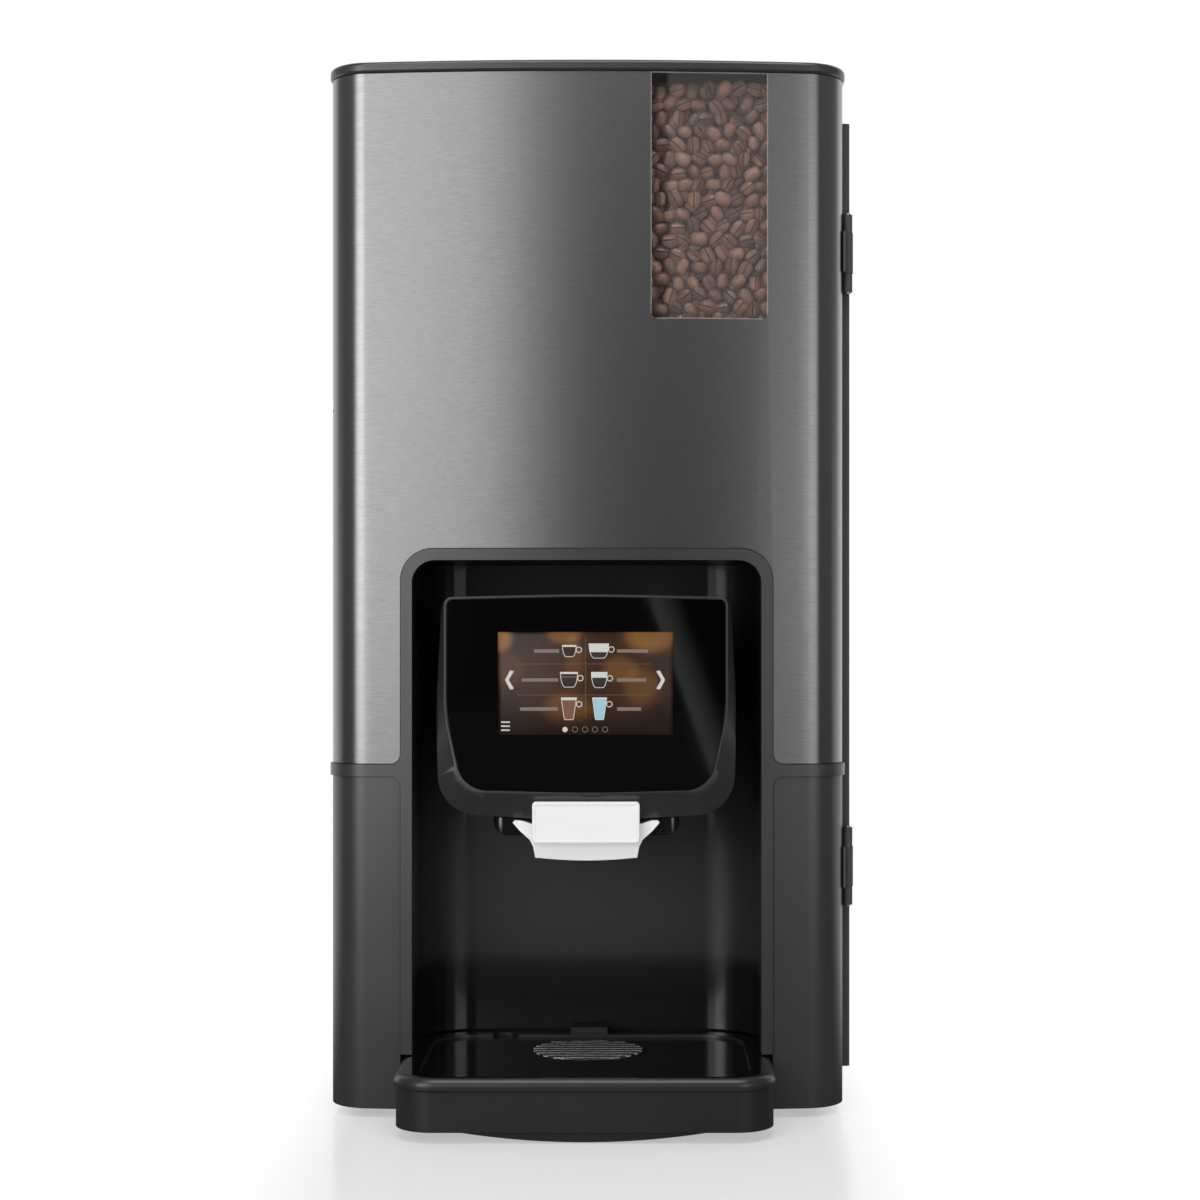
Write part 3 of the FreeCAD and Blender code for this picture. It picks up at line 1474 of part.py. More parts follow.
def grinder_housing():
    """A cast body under the shelf, with the burr room inside and a chute towards the brewer."""
    body = rod("grinder_body", "Z", grinder_centre(), d.grinder_radius, grinder_foot, d.shelf_height)
    ys = (d.grinder_y - 12, d.grinder_y + 12)
    chute = box("grinder_chute", (chute_x, d.grinder_x), ys, (grinder_foot, grinder_foot + 24))
    drop = box("grinder_drop", (chute_x, chute_x + 22), ys, (chute_foot, grinder_foot + 1))
    room = rod("burr_room", "Z", grinder_centre(), d.burr_radius + 1.5, grinder_foot + 12, burr_top)
    inlet = rod("grinder_inlet", "Z", grinder_centre(), d.neck_radius - 3, burr_top - 1, d.shelf_height + 1)
    shaft = rod("grinder_shaft_hole", "Z", grinder_centre(), d.grinder_shaft + d.pin_gap, grinder_foot - 1,
                grinder_foot + 13)
    inner = (ys[0] + 2, ys[1] - 2)
    channel = box("chute_channel", (chute_x + 2, d.grinder_x - 10), inner, (grinder_foot + 12, grinder_foot + 22))
    well = box("chute_well", (chute_x + 2, chute_x + 20), inner, (chute_foot + 2, grinder_foot + 22))
    mouth = box("chute_mouth", (chute_x - 1, chute_x + 3), inner, (chute_foot + 2, d.piston_foot - 1))
    return cut("grinder_housing", fuse("grinder_solid", body, chute, drop), room, inlet, shaft, channel, well,
               mouth)


chute_x = d.brew_x + d.chamber_radius + d.chute_gap
chute_foot = d.chamber_foot + d.chamber_height


def burr(name, foot, top, bore, axis_spot):
    """A conical-faced steel ring."""
    return turned(
        name, "Z", (axis_spot[0], axis_spot[1], as_size(0)),
        [(bore, foot), (d.burr_radius, foot), (d.burr_radius, top), (bore, top)],
    )


def upper_burr():
    return burr("upper_burr", burr_top - d.burr_wall, burr_top, as_size(17), grinder_centre())


def lower_burr():
    """The burr that turns, with its shaft down through the housing to the motor."""
    top = burr_top - d.burr_wall - 0.5
    ring = burr("burr_disc", top - d.burr_wall, top, d.grinder_shaft - 0.5, grinder_centre())
    shaft = rod("burr_shaft", "Z", grinder_centre(), d.grinder_shaft, grinder_foot + 0.3, top + 4)
    return fuse("lower_burr", ring, shaft)


def grinder_motor():
    centre = grinder_centre()
    body = rod("motor_can", "Z", centre, d.motor_radius, grinder_foot - d.motor_height, grinder_foot - 4)
    flange = rod("motor_flange", "Z", centre, d.motor_radius + 4, grinder_foot - 4, grinder_foot)
    slot = box("motor_flat", (d.grinder_x - 60, chute_x + 23), (d.grinder_y - 40, d.grinder_y + 40),
               (grinder_foot - d.motor_height - 1, grinder_foot + 1))
    return cut("grinder_motor", fuse("motor_solid", body, flange), slot)


# Brewer

hot_x = d.brew_x - 14
hot_z = d.chamber_foot + 8
hot_end = d.brew_y + d.chamber_radius + 4
spindle_y = d.brew_y + d.spindle_offset
plate_behind = d.bulkhead_place - 4


def brew_frame():
    """A back plate on the bulkhead with a lower arm for the chamber and an upper arm for the drive."""
    xs = (d.brew_x - d.chamber_radius - d.frame_margin, chute_x - d.chute_gap)
    ys = (d.brew_y - d.chamber_radius - d.frame_margin, plate_behind)
    low_arm, high_arm = d.chamber_foot - d.frame_arm, d.frame_top - d.frame_arm
    plate = box("brew_plate", xs, (plate_behind, d.bulkhead_place), (d.chamber_foot - d.frame_drop, d.frame_top + d.frame_rise))
    lower = box("brew_low_arm", xs, ys, (low_arm, d.chamber_foot))
    upper = box("brew_high_arm", xs, ys, (high_arm, d.frame_top))
    rod_hole = rod("rod_hole", "Z", (d.brew_x, d.brew_y), d.piston_rod + d.piston_gap, high_arm - 1,
                   d.frame_top + 1)
    screw_hole = rod("spindle_hole", "Z", (d.brew_x, spindle_y), d.spindle_radius + d.pin_gap,
                     d.chamber_foot - 3, d.frame_top + 1)
    hot = rod("frame_hot_hole", "Y", (hot_x, hot_z), d.pipe_radius + 1, plate_behind - 1, d.bulkhead_place + 1)
    return cut("brew_frame", fuse("brew_frame_solid", plate, lower, upper), rod_hole, screw_hole, hot)


def brew_chamber():
    """The cup that the grounds drop into and the piston presses in, with a port behind and in front."""
    foot, height, bore = d.chamber_foot, d.chamber_height, d.chamber_bore
    floor = foot + d.chamber_floor
    cup = turned(
        "chamber_cup", "Z", (d.brew_x, d.brew_y, as_size(0)),
        [
            (0, foot), (d.chamber_radius, foot), (d.chamber_radius, foot + height), (bore + 2, foot + height),
            (bore, foot + height - 4), (bore, floor), (0, floor),
        ],
    )
    boss = rod("chamber_boss", "Y", (hot_x, hot_z), d.pipe_radius + 3, d.brew_y, hot_end)
    narrow = d.pipe_radius - 1.5
    holes = [
        rod("hot_port", "Y", (hot_x, hot_z), narrow, d.brew_y + 14, hot_end + 1),
        rod("hot_riser", "Z", (hot_x, d.brew_y + 14), narrow + 0.5, hot_z - 3, floor + 1),
        rod("coffee_port", "Y", (d.brew_x, hot_z), narrow, d.brew_y - d.chamber_radius - 1, d.brew_y - 16),
        rod("coffee_riser", "Z", (d.brew_x, d.brew_y - 16), narrow + 0.5, hot_z - 3, floor + 1),
    ]
    return cut("brew_chamber", fuse("chamber_solid", cup, boss), *holes)


def brew_piston():
    """The pressing piston on its rod, with an arm above the chamber that the spindle drives."""
    foot = d.piston_foot
    arm_foot = d.chamber_foot + d.chamber_height + d.piston_travel + 3
    head = rod("piston_head", "Z", (d.brew_x, d.brew_y), d.chamber_bore - d.piston_gap, foot,
               foot + d.piston_height)
    stem = rod("piston_stem", "Z", (d.brew_x, d.brew_y), d.piston_rod, foot + d.piston_height,
               d.frame_top + d.piston_travel + 3)
    arm = box("piston_arm", (d.brew_x - 8, d.brew_x + 8), (d.brew_y, spindle_y), (arm_foot, arm_foot + 8))
    nut = rod("piston_nut", "Z", (d.brew_x, spindle_y), as_size(9), arm_foot, arm_foot + 16)
    bore = rod("nut_bore", "Z", (d.brew_x, spindle_y), d.spindle_radius + d.spindle_gap, arm_foot - 1,
               arm_foot + 17)
    return cut("brew_piston", fuse("piston_solid", head, stem, arm, nut), bore)


def brew_spindle():
    """The screw behind the chamber that drives the piston, carried in both arms."""
    screw = rod("spindle_screw", "Z", (d.brew_x, spindle_y), d.spindle_radius, d.chamber_foot - 3,
                d.frame_top - 0.3)
    high_arm = d.frame_top - d.frame_arm
    key = box("spindle_key", (d.brew_x, d.brew_x + d.spindle_radius + 1.5), (spindle_y - 1.2, spindle_y + 1.2),
              (high_arm - 5, high_arm - 1))
    return fuse("brew_spindle", screw, key)


def brewer_motor():
    return rod("brewer_motor", "Z", (d.brew_x, spindle_y), d.brewer_motor_radius, d.frame_top,
               d.frame_top + d.brewer_motor_height)


# Powder canisters and mixer

canister_front = flange_back + 8.5
trough_front = canister_front + d.trough_front
drop_y = trough_front + 11


def canister(name, x0, x1, trough_x):
    """An open-topped box that narrows to a round trough, where its auger turns."""
    def shape(part_name, inset, top, low_front, back, *extra):
        radius = d.trough_radius - inset
        xs, ys = (x0 + inset, x1 - inset), (canister_front + inset, back)
        return fuse(
            part_name, *extra,
            box(part_name + "_box", xs, ys, (d.canister_foot, top)),
            taper(part_name + "_taper", (trough_x - radius, trough_x + radius, low_front, back),
                  (xs[0], xs[1], ys[0], ys[1]), (trough_z, d.canister_foot)),
            rod(part_name + "_trough", "Y", (trough_x, trough_z), radius, low_front, back),
        )
    wall = d.canister_wall
    foot = box(name + "_foot", (trough_x - d.trough_radius, trough_x + d.trough_radius),
               (trough_front, d.canister_back), (shelf_top, trough_z))
    outside = shape(name + "_out", as_size(0), d.canister_top, trough_front, d.canister_back, foot)
    inside = shape(name + "_in", wall, d.canister_top + 5, trough_front + wall, d.canister_back - wall)
    drop = rod(name + "_drop", "Z", (trough_x, drop_y), d.drop_radius - 2, shelf_top - 1, trough_z)
    bearing = rod(name + "_bearing", "Y", (trough_x, trough_z), d.auger_shaft + d.pin_gap,
                  d.canister_back - wall - 1, d.canister_back + 1)
    return cut(name, outside, inside, drop, bearing)


def canister_left():
    return canister("canister_left", d.canister_left_edge, d.canister_split - d.canister_gap / 2, trough_xs[0])


def canister_right():
    return canister("canister_right", d.canister_split + d.canister_gap / 2, d.canister_right_edge,
                    trough_xs[1])


def auger(name, trough_x):
    """A shaft with one helical blade."""
    start = float(trough_front + d.canister_wall + 1)
    stop = float(d.canister_back - d.canister_wall - 1)
    end = float(d.bulkhead_place - d.gear_motor_length - 0.3)
    pitch, blade = float(d.auger_pitch), float(d.auger_blade)
    inner, outer = float(d.auger_shaft) - 0.8, float(d.auger_radius)
    turns = (stop - start - blade) / pitch
    helix = Part.makeHelix(pitch, pitch * turns, outer)
    section = Part.makePolygon([
        FreeCAD.Vector(inner, 0, 0), FreeCAD.Vector(outer, 0, 0), FreeCAD.Vector(outer, 0, blade),
        FreeCAD.Vector(inner, 0, blade), FreeCAD.Vector(inner, 0, 0),
    ])
    flight = Part.Wire(helix.Edges).makePipeShell([section], True, True)
    shaft = Part.makeCylinder(float(d.auger_shaft), end - start)
    shape = shaft.fuse(flight)
    shape.Placement = FreeCAD.Placement(vector(trough_x, start, trough_z), TURNS["Y"])
    return solid_feature(name, shape)


def auger_left():
    return auger("auger_left", trough_xs[0])


def auger_right():
    return auger("auger_right", trough_xs[1])


whip_end = d.mixer_y + d.whip_length / 2
whip_motor_front = whip_end + 17


def product_motors():
    """Three gear motors: one behind each auger and one behind the whipper."""
    motors = [
        rod("auger_motor", "Y", (x, trough_z), d.gear_motor_radius, d.bulkhead_place - d.gear_motor_length,
            d.bulkhead_place)
        for x in trough_xs
    ]
    centre = (d.canister_split, d.whip_height)
    end = whip_motor_front + d.whip_motor_length
    can = rod("whip_motor", "Y", centre, d.gear_motor_radius, whip_motor_front, end)
    hanger = box("whip_hanger", (d.canister_split - 6, d.canister_split + 6),
                 (whip_motor_front + 15, end - 5), (d.whip_height, d.shelf_height))
    return together("product_motors", motors + [fuse("whip_drive", can, hanger)])


def mixing_bowl():
    """A funnel hung under the shelf, on a short level drum where the whipper turns."""
    spot = (d.canister_split, d.mixer_y, as_size(0))
    top, lip, cone = d.shelf_height, d.bowl_lip, d.bowl_cone
    wide, neck, wall = d.bowl_radius, d.bowl_neck, d.bowl_wall
    outside = turned(
        "bowl_outside", "Z", spot,
        [(0, d.whip_height), (neck, d.whip_height), (neck, top - lip - cone), (wide, top - lip), (wide, top),
         (0, top)],
    )
    inside = turned(
        "bowl_inside", "Z", spot,
        [(0, d.whip_height), (neck - wall, d.whip_height), (neck - wall, top - lip - cone + 1),
         (wide - wall, top - lip + 1), (wide - wall, top + 1), (0, top + 1)],
    )
    centre = (d.canister_split, d.whip_height)
    start = d.mixer_y - d.whip_length / 2
    drum = rod("whip_drum", "Y", centre, d.whip_shell, start, whip_end)
    room = rod("whip_room", "Y", centre, d.whip_shell - wall - 0.5, start + 2.5, whip_end - 2.5)
    shaft = rod("whip_shaft_hole", "Y", centre, d.whip_shaft + d.pin_gap, whip_end - 3, whip_end + 1)
    port = rod("bowl_port", "Y", (d.boiler_x, mix_z), d.pipe_radius + 1, d.mixer_y, bowl_port_end)
    outlet = rod("whip_outlet", "Y", (d.canister_split, whip_outlet_z), d.pipe_radius - 1.5, whip_end - 3,
                 whip_end + 1)
    return cut("mixing_bowl", fuse("bowl_solid", outside, drum, port), inside, room, shaft, outlet)


bowl_port_end = d.mixer_y + 38
whip_outlet_z = d.whip_height - 9


def whipper_rotor():
    """A small bladed disc on a level shaft."""
    centre = (d.canister_split, d.whip_height)
    start = d.mixer_y - 6
    disc = rod("whip_disc", "Y", centre, d.whip_radius - 5, start, start + 4)
    shaft = rod("whip_shaft", "Y", centre, d.whip_shaft, start, whip_motor_front - 0.3)
    blades = [
        box("whip_blade", (d.canister_split - d.whip_radius, d.canister_split + d.whip_radius),
            (start, start + 9), (d.whip_height - 1.2, d.whip_height + 1.2)),
        box("whip_blade", (d.canister_split - 1.2, d.canister_split + 1.2),
            (start, start + 9), (d.whip_height - d.whip_radius, d.whip_height + d.whip_radius)),
    ]
    return fuse("whipper_rotor", disc, shaft, *blades)


# Water, power and cooling

mix_z = d.shelf_height - 6
valve_y = bulkhead_back + d.valve_depth / 2


def boiler():
    """An insulated upright boiler on three legs, with its heater's cap on top."""
    centre = (d.boiler_x, d.boiler_y)
    top = d.boiler_foot + d.boiler_height
    tank = turned(
        "boiler_tank", "Z", (centre[0], centre[1], as_size(0)),
        [
            (0, d.boiler_foot), (d.boiler_radius - 8, d.boiler_foot), (d.boiler_radius, d.boiler_foot + 8),
            (d.boiler_radius, top - 8), (d.boiler_radius - 8, top), (0, top),
        ],
    )
    cap = rod("heater_cap", "Z", (d.boiler_x, d.boiler_y + 26), as_size(14), top, top + 22)
    legs = []
    for number in range(3):
        angle = math.radians(90 + 120 * number)
        reach = d.boiler_radius - 18
        spot = (d.boiler_x + reach * math.cos(angle), d.boiler_y + reach * math.sin(angle))
        legs.append(rod("boiler_leg", "Z", spot, as_size(6), base_top, d.boiler_foot + 1))
    return fuse("boiler", tank, cap, *legs)


def water_pump():
    centre = (d.pump_x, d.pump_z)
    end = d.pump_front + d.pump_length
    can = rod("pump_can", "Y", centre, d.pump_radius, d.pump_front + 20, end)
    head = rod("pump_head", "Y", centre, d.pump_radius - 6, d.pump_front, d.pump_front + 20)
    saddle = box("pump_saddle", (d.pump_x - 18, d.pump_x + 18), (d.pump_front + 28, end - 8),
                 (base_top, d.pump_z - 8))
    return fuse("water_pump", can, head, saddle)


def valve_block():
    """A manifold on the bulkhead with two solenoid valves on top."""
    xs = (d.pump_x - d.valve_width / 2, d.pump_x + d.valve_width / 2)
    ys = (bulkhead_back, bulkhead_back + d.valve_depth)
    top = d.valve_z + d.valve_height
    solids = [box("manifold", xs, ys, (d.valve_z, top))]
    for share in (0.27, 0.73):
        x = xs[0] + (xs[1] - xs[0]) * share
        coil_foot = top + d.coil_lift
        solids.append(rod("valve_stem", "Z", (x, valve_y), d.valve_stem, top, coil_foot))
        solids.append(
            box("valve_coil", (x - d.coil_width / 2, x + d.coil_width / 2), (ys[0] + 1, ys[1]),
                (coil_foot, coil_foot + d.coil_height))
        )
    return fuse("valve_block", *solids)


def pipe(points, radius):
    """A tube on straight runs with a tangent arc at each corner."""
    spots = [vector(*point) for point in points]
    radii = [0.0] * len(spots)
    for i in range(1, len(spots) - 1):
        run = min((spots[i] - spots[i - 1]).Length, (spots[i + 1] - spots[i]).Length)
        turn = (spots[i] - spots[i - 1]).getAngle(spots[i + 1] - spots[i])
        radii[i] = min(float(d.pipe_bend), 0.45 * run / math.tan(turn / 2))
    path = rounded_path(spots, radii, False) if len(spots) > 2 else Part.Wire(
        [Part.LineSegment(spots[0], spots[1]).toShape()]
    )
    circle = Part.Wire([Part.Circle(spots[0], spots[1] - spots[0], float(as_size(radius))).toShape()])
    return path.makePipeShell([circle], True, False)


def water_pipes():
    """Every fixed water line, each a separate tube from one part's face to the next."""
    pump_end = d.pump_front + d.pump_length
    inlet_end = back_face - 16
    halfway = (pump_end + inlet_end) / 2
    valve_left = d.pump_x - d.valve_width / 2
    feed_z = d.valve_z + d.valve_height / 2
    boiler_top = d.boiler_foot + d.boiler_height
    boiler_side = d.boiler_x + d.boiler_radius
    hot_start_z = boiler_top - 40
    small = d.pipe_radius - 1
    runs = [
        ([(d.water_x, inlet_end, d.water_z), (d.water_x, halfway, d.water_z), (d.pump_x, halfway, d.pump_z),
          (d.pump_x, pump_end, d.pump_z)], d.pipe_radius),
        ([(d.pump_x, d.pump_front, d.pump_z), (d.pump_x, valve_y, d.pump_z), (d.pump_x, valve_y, d.valve_z)],
         d.pipe_radius),
        ([(valve_left, valve_y, feed_z), (d.boiler_x, valve_y, feed_z),
          (d.boiler_x, d.boiler_y - d.boiler_radius, feed_z)], d.pipe_radius),
        ([(boiler_side, d.boiler_y, hot_start_z), (hot_x, d.boiler_y, hot_start_z),
          (hot_x, d.boiler_y, hot_z), (hot_x, hot_end, hot_z)], d.pipe_radius),
        ([(d.boiler_x, d.boiler_y, boiler_top), (d.boiler_x, d.boiler_y, mix_z),
          (d.boiler_x, bowl_port_end, mix_z)], small),
        ([(d.brew_x, d.brew_y - d.chamber_radius, hot_z), (d.brew_x, liner_rear + 3, hot_z)], small),
        ([(d.canister_split, whip_end, whip_outlet_z), (d.canister_split, liner_rear + 10, whip_outlet_z),
          (d.canister_split, liner_rear + 10, drink_z + 20), (drink_x[0] + 6, liner_rear + 10, drink_z),
          (drink_x[0] + 6, liner_rear + 3, drink_z)], small),
    ]
    return solid_feature("water_pipes", Part.Compound([pipe(points, radius) for points, radius in runs]))


def water_inlet():
    """The threaded stub for the water hose, through the back panel."""
    tip = panel_back + d.inlet_reach
    body = d.water_bore + 3
    return turned(
        "water_inlet", "Y", (d.water_x, as_size(0), d.water_z),
        [
            (d.pipe_radius, back_face - 16), (body, back_face - 16), (body, panel_back),
            (d.water_thread + 3, panel_back), (d.water_thread + 3, panel_back + 2.5),
            (d.water_thread, panel_back + 2.5), (d.water_thread, tip), (d.water_bore, tip),
            (d.water_bore, back_face), (d.pipe_radius, back_face),
        ],
    )


def power_inlet():
    """The socket for the mains lead: a flanged box with a deep well and three blades."""
    wide, high = d.power_width / 2, d.power_height / 2
    x, z = d.power_x, d.power_z
    depth = back_face - 22
    case = box("socket_case", (x - wide, x + wide), (depth, panel_back), (z - high, z + high))
    flange = box("socket_flange", (x - wide - 3, x + wide + 3), (panel_back, panel_back + 2),
                 (z - high - 3, z + high + 3))
    well = box("socket_well", (x - 12.5, x + 12.5), (depth + 3, panel_back + 3), (z - 8.5, z + 8.5))
    blades = [
        box("socket_blade", (x + dx - 1, x + dx + 1), (depth + 3, panel_back - 3), (z + dz - 2, z + dz + 2))
        for dx, dz in ((-7, -2), (0, 2), (7, -2))
    ]
    return fuse("power_inlet", cut("socket_body", fuse("socket_solid", case, flange), well), *blades)


def power_supply():
    """The control box on the back of the bulkhead, with a rounded lid line and a row of plugs."""
    x0 = -inner_half + 18
    z0 = d.bulkhead_top - 30 - d.supply_height
    ys = (bulkhead_back, bulkhead_back + d.supply_depth)
    case = pad("supply_case", "XZ", ys[0], ys[1],
               rounded(x0, x0 + d.supply_width, z0, z0 + d.supply_height, as_size(6), as_size(6)))
    plugs = [
        box("supply_plug", (x0 + 16 + 24 * i, x0 + 34 + 24 * i), (ys[0] + 14, ys[0] + 28), (z0 - 7, z0 + 1))
        for i in range(7)
    ]
    return fuse("power_supply", case, *plugs)


def fan_housing():
    """A square fan frame on the inside of the back panel, with four struts to its hub."""
    side = d.fan_size / 2
    x, z = d.fan_x, fan_z
    ys = (back_face - d.fan_depth, back_face)
    frame = pad(
        "fan_frame", "XZ", ys[0], ys[1], rounded(x - side, x + side, z - side, z + side, as_size(5), as_size(5)),
        (x, z, d.fan_radius + 2),
    )
    struts = [
        box("fan_strut", (x - d.fan_radius - 3, x + d.fan_radius + 3), (ys[0], ys[0] + 3), (z - 2, z + 2)),
        box("fan_strut", (x - 2, x + 2), (ys[0], ys[0] + 3), (z - d.fan_radius - 3, z + d.fan_radius + 3)),
        rod("fan_mount", "Y", (x, z), d.fan_hub, ys[0], ys[0] + 3),
        rod("fan_axle", "Y", (x, z), as_size(2), ys[0], ys[0] + 12),
    ]
    return fuse("fan_housing", frame, *struts)


def fan_rotor():
    """A hub with seven flat blades, each set at a slant."""
    start, depth = float(back_face - d.fan_depth + 4), float(d.fan_depth) - 7
    reach, hub = float(d.fan_radius), float(d.fan_hub)
    rotor = Part.makeCylinder(hub, depth)
    blade = Part.makeBox(reach - hub + 4, 1.6, depth * 1.25)
    blade.translate(FreeCAD.Vector(hub - 4, -0.8, -depth * 0.125))
    blade.rotate(FreeCAD.Vector(0, 0, depth / 2), FreeCAD.Vector(1, 0, 0), 38)
    limit = Part.makeCylinder(reach, depth)
    blades = []
    for number in range(7):
        copy = blade.copy()
        copy.rotate(FreeCAD.Vector(0, 0, 0), FreeCAD.Vector(0, 0, 1), 360 * number / 7)
        blades.append(copy.common(limit))
    shape = rotor.fuse(blades)
    shape = shape.cut(Part.makeCylinder(2 + float(d.pin_gap), 10, FreeCAD.Vector(0, 0, -1)))
    shape.Placement = FreeCAD.Placement(vector(d.fan_x, start, fan_z), TURNS["Y"])
    return solid_feature("fan_rotor", shape.removeSplitter())


def waste_bin():
    """The open bin under the brewer that catches spent coffee."""
    ys = (liner_rear + d.bin_front, d.bulkhead_place - d.bin_back)
    top = base_top + d.bin_height
    wall = d.bin_wall
    outside = pad("bin_outside", "XY", base_top, top,
                  rounded(-d.bin_half, d.bin_half, ys[0], ys[1], as_size(12), as_size(12)))
    inside = pad("bin_inside", "XY", base_top + wall, top + 1,
                 rounded(-d.bin_half + wall, d.bin_half - wall, ys[0] + wall, ys[1] - wall, 12 - wall, 12 - wall))
    return cut("waste_bin", outside, inside)


PIECES = [
    upper_skin, window_pane, trim_frame, lower_panel_left, lower_panel_right, door_frame, niche_liner,
    screen_pod, screen_glass, display_module, outlet_cover, outlet_plate, outlet_carriage, tray_carrier,
    drip_tray, drip_plate, drip_grille, tray_float, hinge_rail, hinge_leaves, hinge_pins, door_lock, lock_cam,
    lid, top_frame, left_side_panel, right_side_panel, back_panel, panel_screws, base_plate, feet, chassis,
    bean_hopper, coffee_beans, grinder_housing, upper_burr, lower_burr, grinder_motor, brew_frame,
    brew_chamber, brew_piston, brew_spindle, brewer_motor, canister_left, canister_right, auger_left,
    auger_right, product_motors, mixing_bowl, whipper_rotor, boiler, water_pump, valve_block, water_pipes,
    water_inlet, power_inlet, power_supply, fan_housing, fan_rotor, waste_bin,
]

nodes = {}
for make in PIECES:
    thing = make()
    thing.Label = make.__name__
    nodes[make.__name__] = thing
doc.recompute()

for thing in doc.Objects:
    if "Invalid" in thing.State or "Error" in thing.State:
        raise RuntimeError("%s failed: %s" % (thing.Label, thing.State))

os.makedirs("parts", exist_ok=True)
for name, thing in nodes.items():
    shape = thing.Shape
    if shape.isNull() or not shape.isValid() or not shape.Solids:
        raise RuntimeError("%s has no valid solid" % name)
    shape.exportStep("parts/%s.step" % name)
    print(name, len(shape.Solids), "solids", round(shape.Volume / 1000, 1), "cm3")
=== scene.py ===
# %% [markdown]
# # A bean-to-cup coffee machine
# The machine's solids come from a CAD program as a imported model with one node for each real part.
# Blender's work is the looks: worn-in edges, brushed and moulded finishes, the beans behind their
# window and the lit screen. Nothing is made larger or moved, because the same solids also drive the
# moving parts.

import json
from math import cos, pi, radians, sin
import random

import bmesh
import bpy
from mathutils import Euler, Matrix, Vector

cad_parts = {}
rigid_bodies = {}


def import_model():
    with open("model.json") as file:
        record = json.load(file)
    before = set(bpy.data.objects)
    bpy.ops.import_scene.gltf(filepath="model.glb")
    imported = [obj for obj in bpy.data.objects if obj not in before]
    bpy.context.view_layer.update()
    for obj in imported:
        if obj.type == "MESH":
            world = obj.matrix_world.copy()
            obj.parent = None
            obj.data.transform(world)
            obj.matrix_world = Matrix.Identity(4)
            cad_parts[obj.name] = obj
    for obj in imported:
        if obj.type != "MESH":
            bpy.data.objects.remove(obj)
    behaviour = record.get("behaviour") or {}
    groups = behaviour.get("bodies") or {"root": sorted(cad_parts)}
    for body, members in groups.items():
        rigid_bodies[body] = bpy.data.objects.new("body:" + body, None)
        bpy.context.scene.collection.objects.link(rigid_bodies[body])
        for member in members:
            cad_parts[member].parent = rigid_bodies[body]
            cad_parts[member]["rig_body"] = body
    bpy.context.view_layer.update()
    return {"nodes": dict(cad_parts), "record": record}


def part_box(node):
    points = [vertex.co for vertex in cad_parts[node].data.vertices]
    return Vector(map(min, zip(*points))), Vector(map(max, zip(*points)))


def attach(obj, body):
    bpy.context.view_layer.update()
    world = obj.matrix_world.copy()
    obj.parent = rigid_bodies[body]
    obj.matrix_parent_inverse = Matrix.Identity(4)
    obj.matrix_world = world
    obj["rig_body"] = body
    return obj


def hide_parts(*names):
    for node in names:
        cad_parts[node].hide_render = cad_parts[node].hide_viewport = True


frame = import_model()
MM = 0.001
nodes = frame["nodes"]
slot_of = {row["node"]: row["material_slot"] for row in frame["record"]["subparts"]}

# %% [markdown]
# ## The photographer's place
# The photograph looks straight at the machine, a little right of its middle and a little below half its
# height. The lens shift stands for the crop: it slides the picture without tilting the machine's
# upright lines.

# %% Camera
CAMERA_PLACE = Vector((35, -1629, 315)) * MM
LENS, SENSOR_WIDTH = 66.3, 36
SHIFT_ACROSS, SHIFT_UP = -0.0332, 0.0333
LEVEL_VIEW = (pi / 2, 0, 0)

scene = bpy.context.scene
camera = bpy.data.cameras.new("camera")
camera.lens = LENS
camera.sensor_width = SENSOR_WIDTH
camera.shift_x = SHIFT_ACROSS
camera.shift_y = SHIFT_UP
camera_object = bpy.data.objects.new("camera", camera)
camera_object.location = CAMERA_PLACE
camera_object.rotation_euler = LEVEL_VIEW
scene.collection.objects.link(camera_object)
bpy.context.scene.camera = camera_object
scene.view_settings.view_transform = "Standard"
print("camera at", tuple(CAMERA_PLACE))

# %% [markdown]
# ## Node graphs in a few words
# Every finish is a graph of shader nodes, and so is the room round the machine. Two functions keep the
# wiring readable: one sets an input or links it to another node's output, the other adds a node with
# all its inputs.

# %% Nodes and their inputs
def wire(tree, node, name, value):
    """A plain value for a node's input, or a link to it. A name such as i1 counts the inputs."""
    numbered = name[0] == "i" and name[1:].isdigit()
    socket = node.inputs[int(name[1:]) if numbered else name.replace("_", " ")]
    if isinstance(value, bpy.types.NodeSocket):
        tree.links.new(value, socket)
    else:
        socket.default_value = value


def added(tree, kind, settings=None, **sockets):
    """A new node with its settings and its inputs."""
    node = tree.nodes.new(kind)
    for key, value in (settings or {}).items():
        setattr(node, key, value)
    for name, value in sockets.items():
        wire(tree, node, name, value)
    return node


def around(color, spread):
    """Two shades of a colour, one darker and one lighter."""
    return [tuple(channel * (1 + side * spread) for channel in color) for side in (-1, 1)]


# %% [markdown]
# A small class holds the graph of one finish, with a method for each kind of node that the finishes
# share.

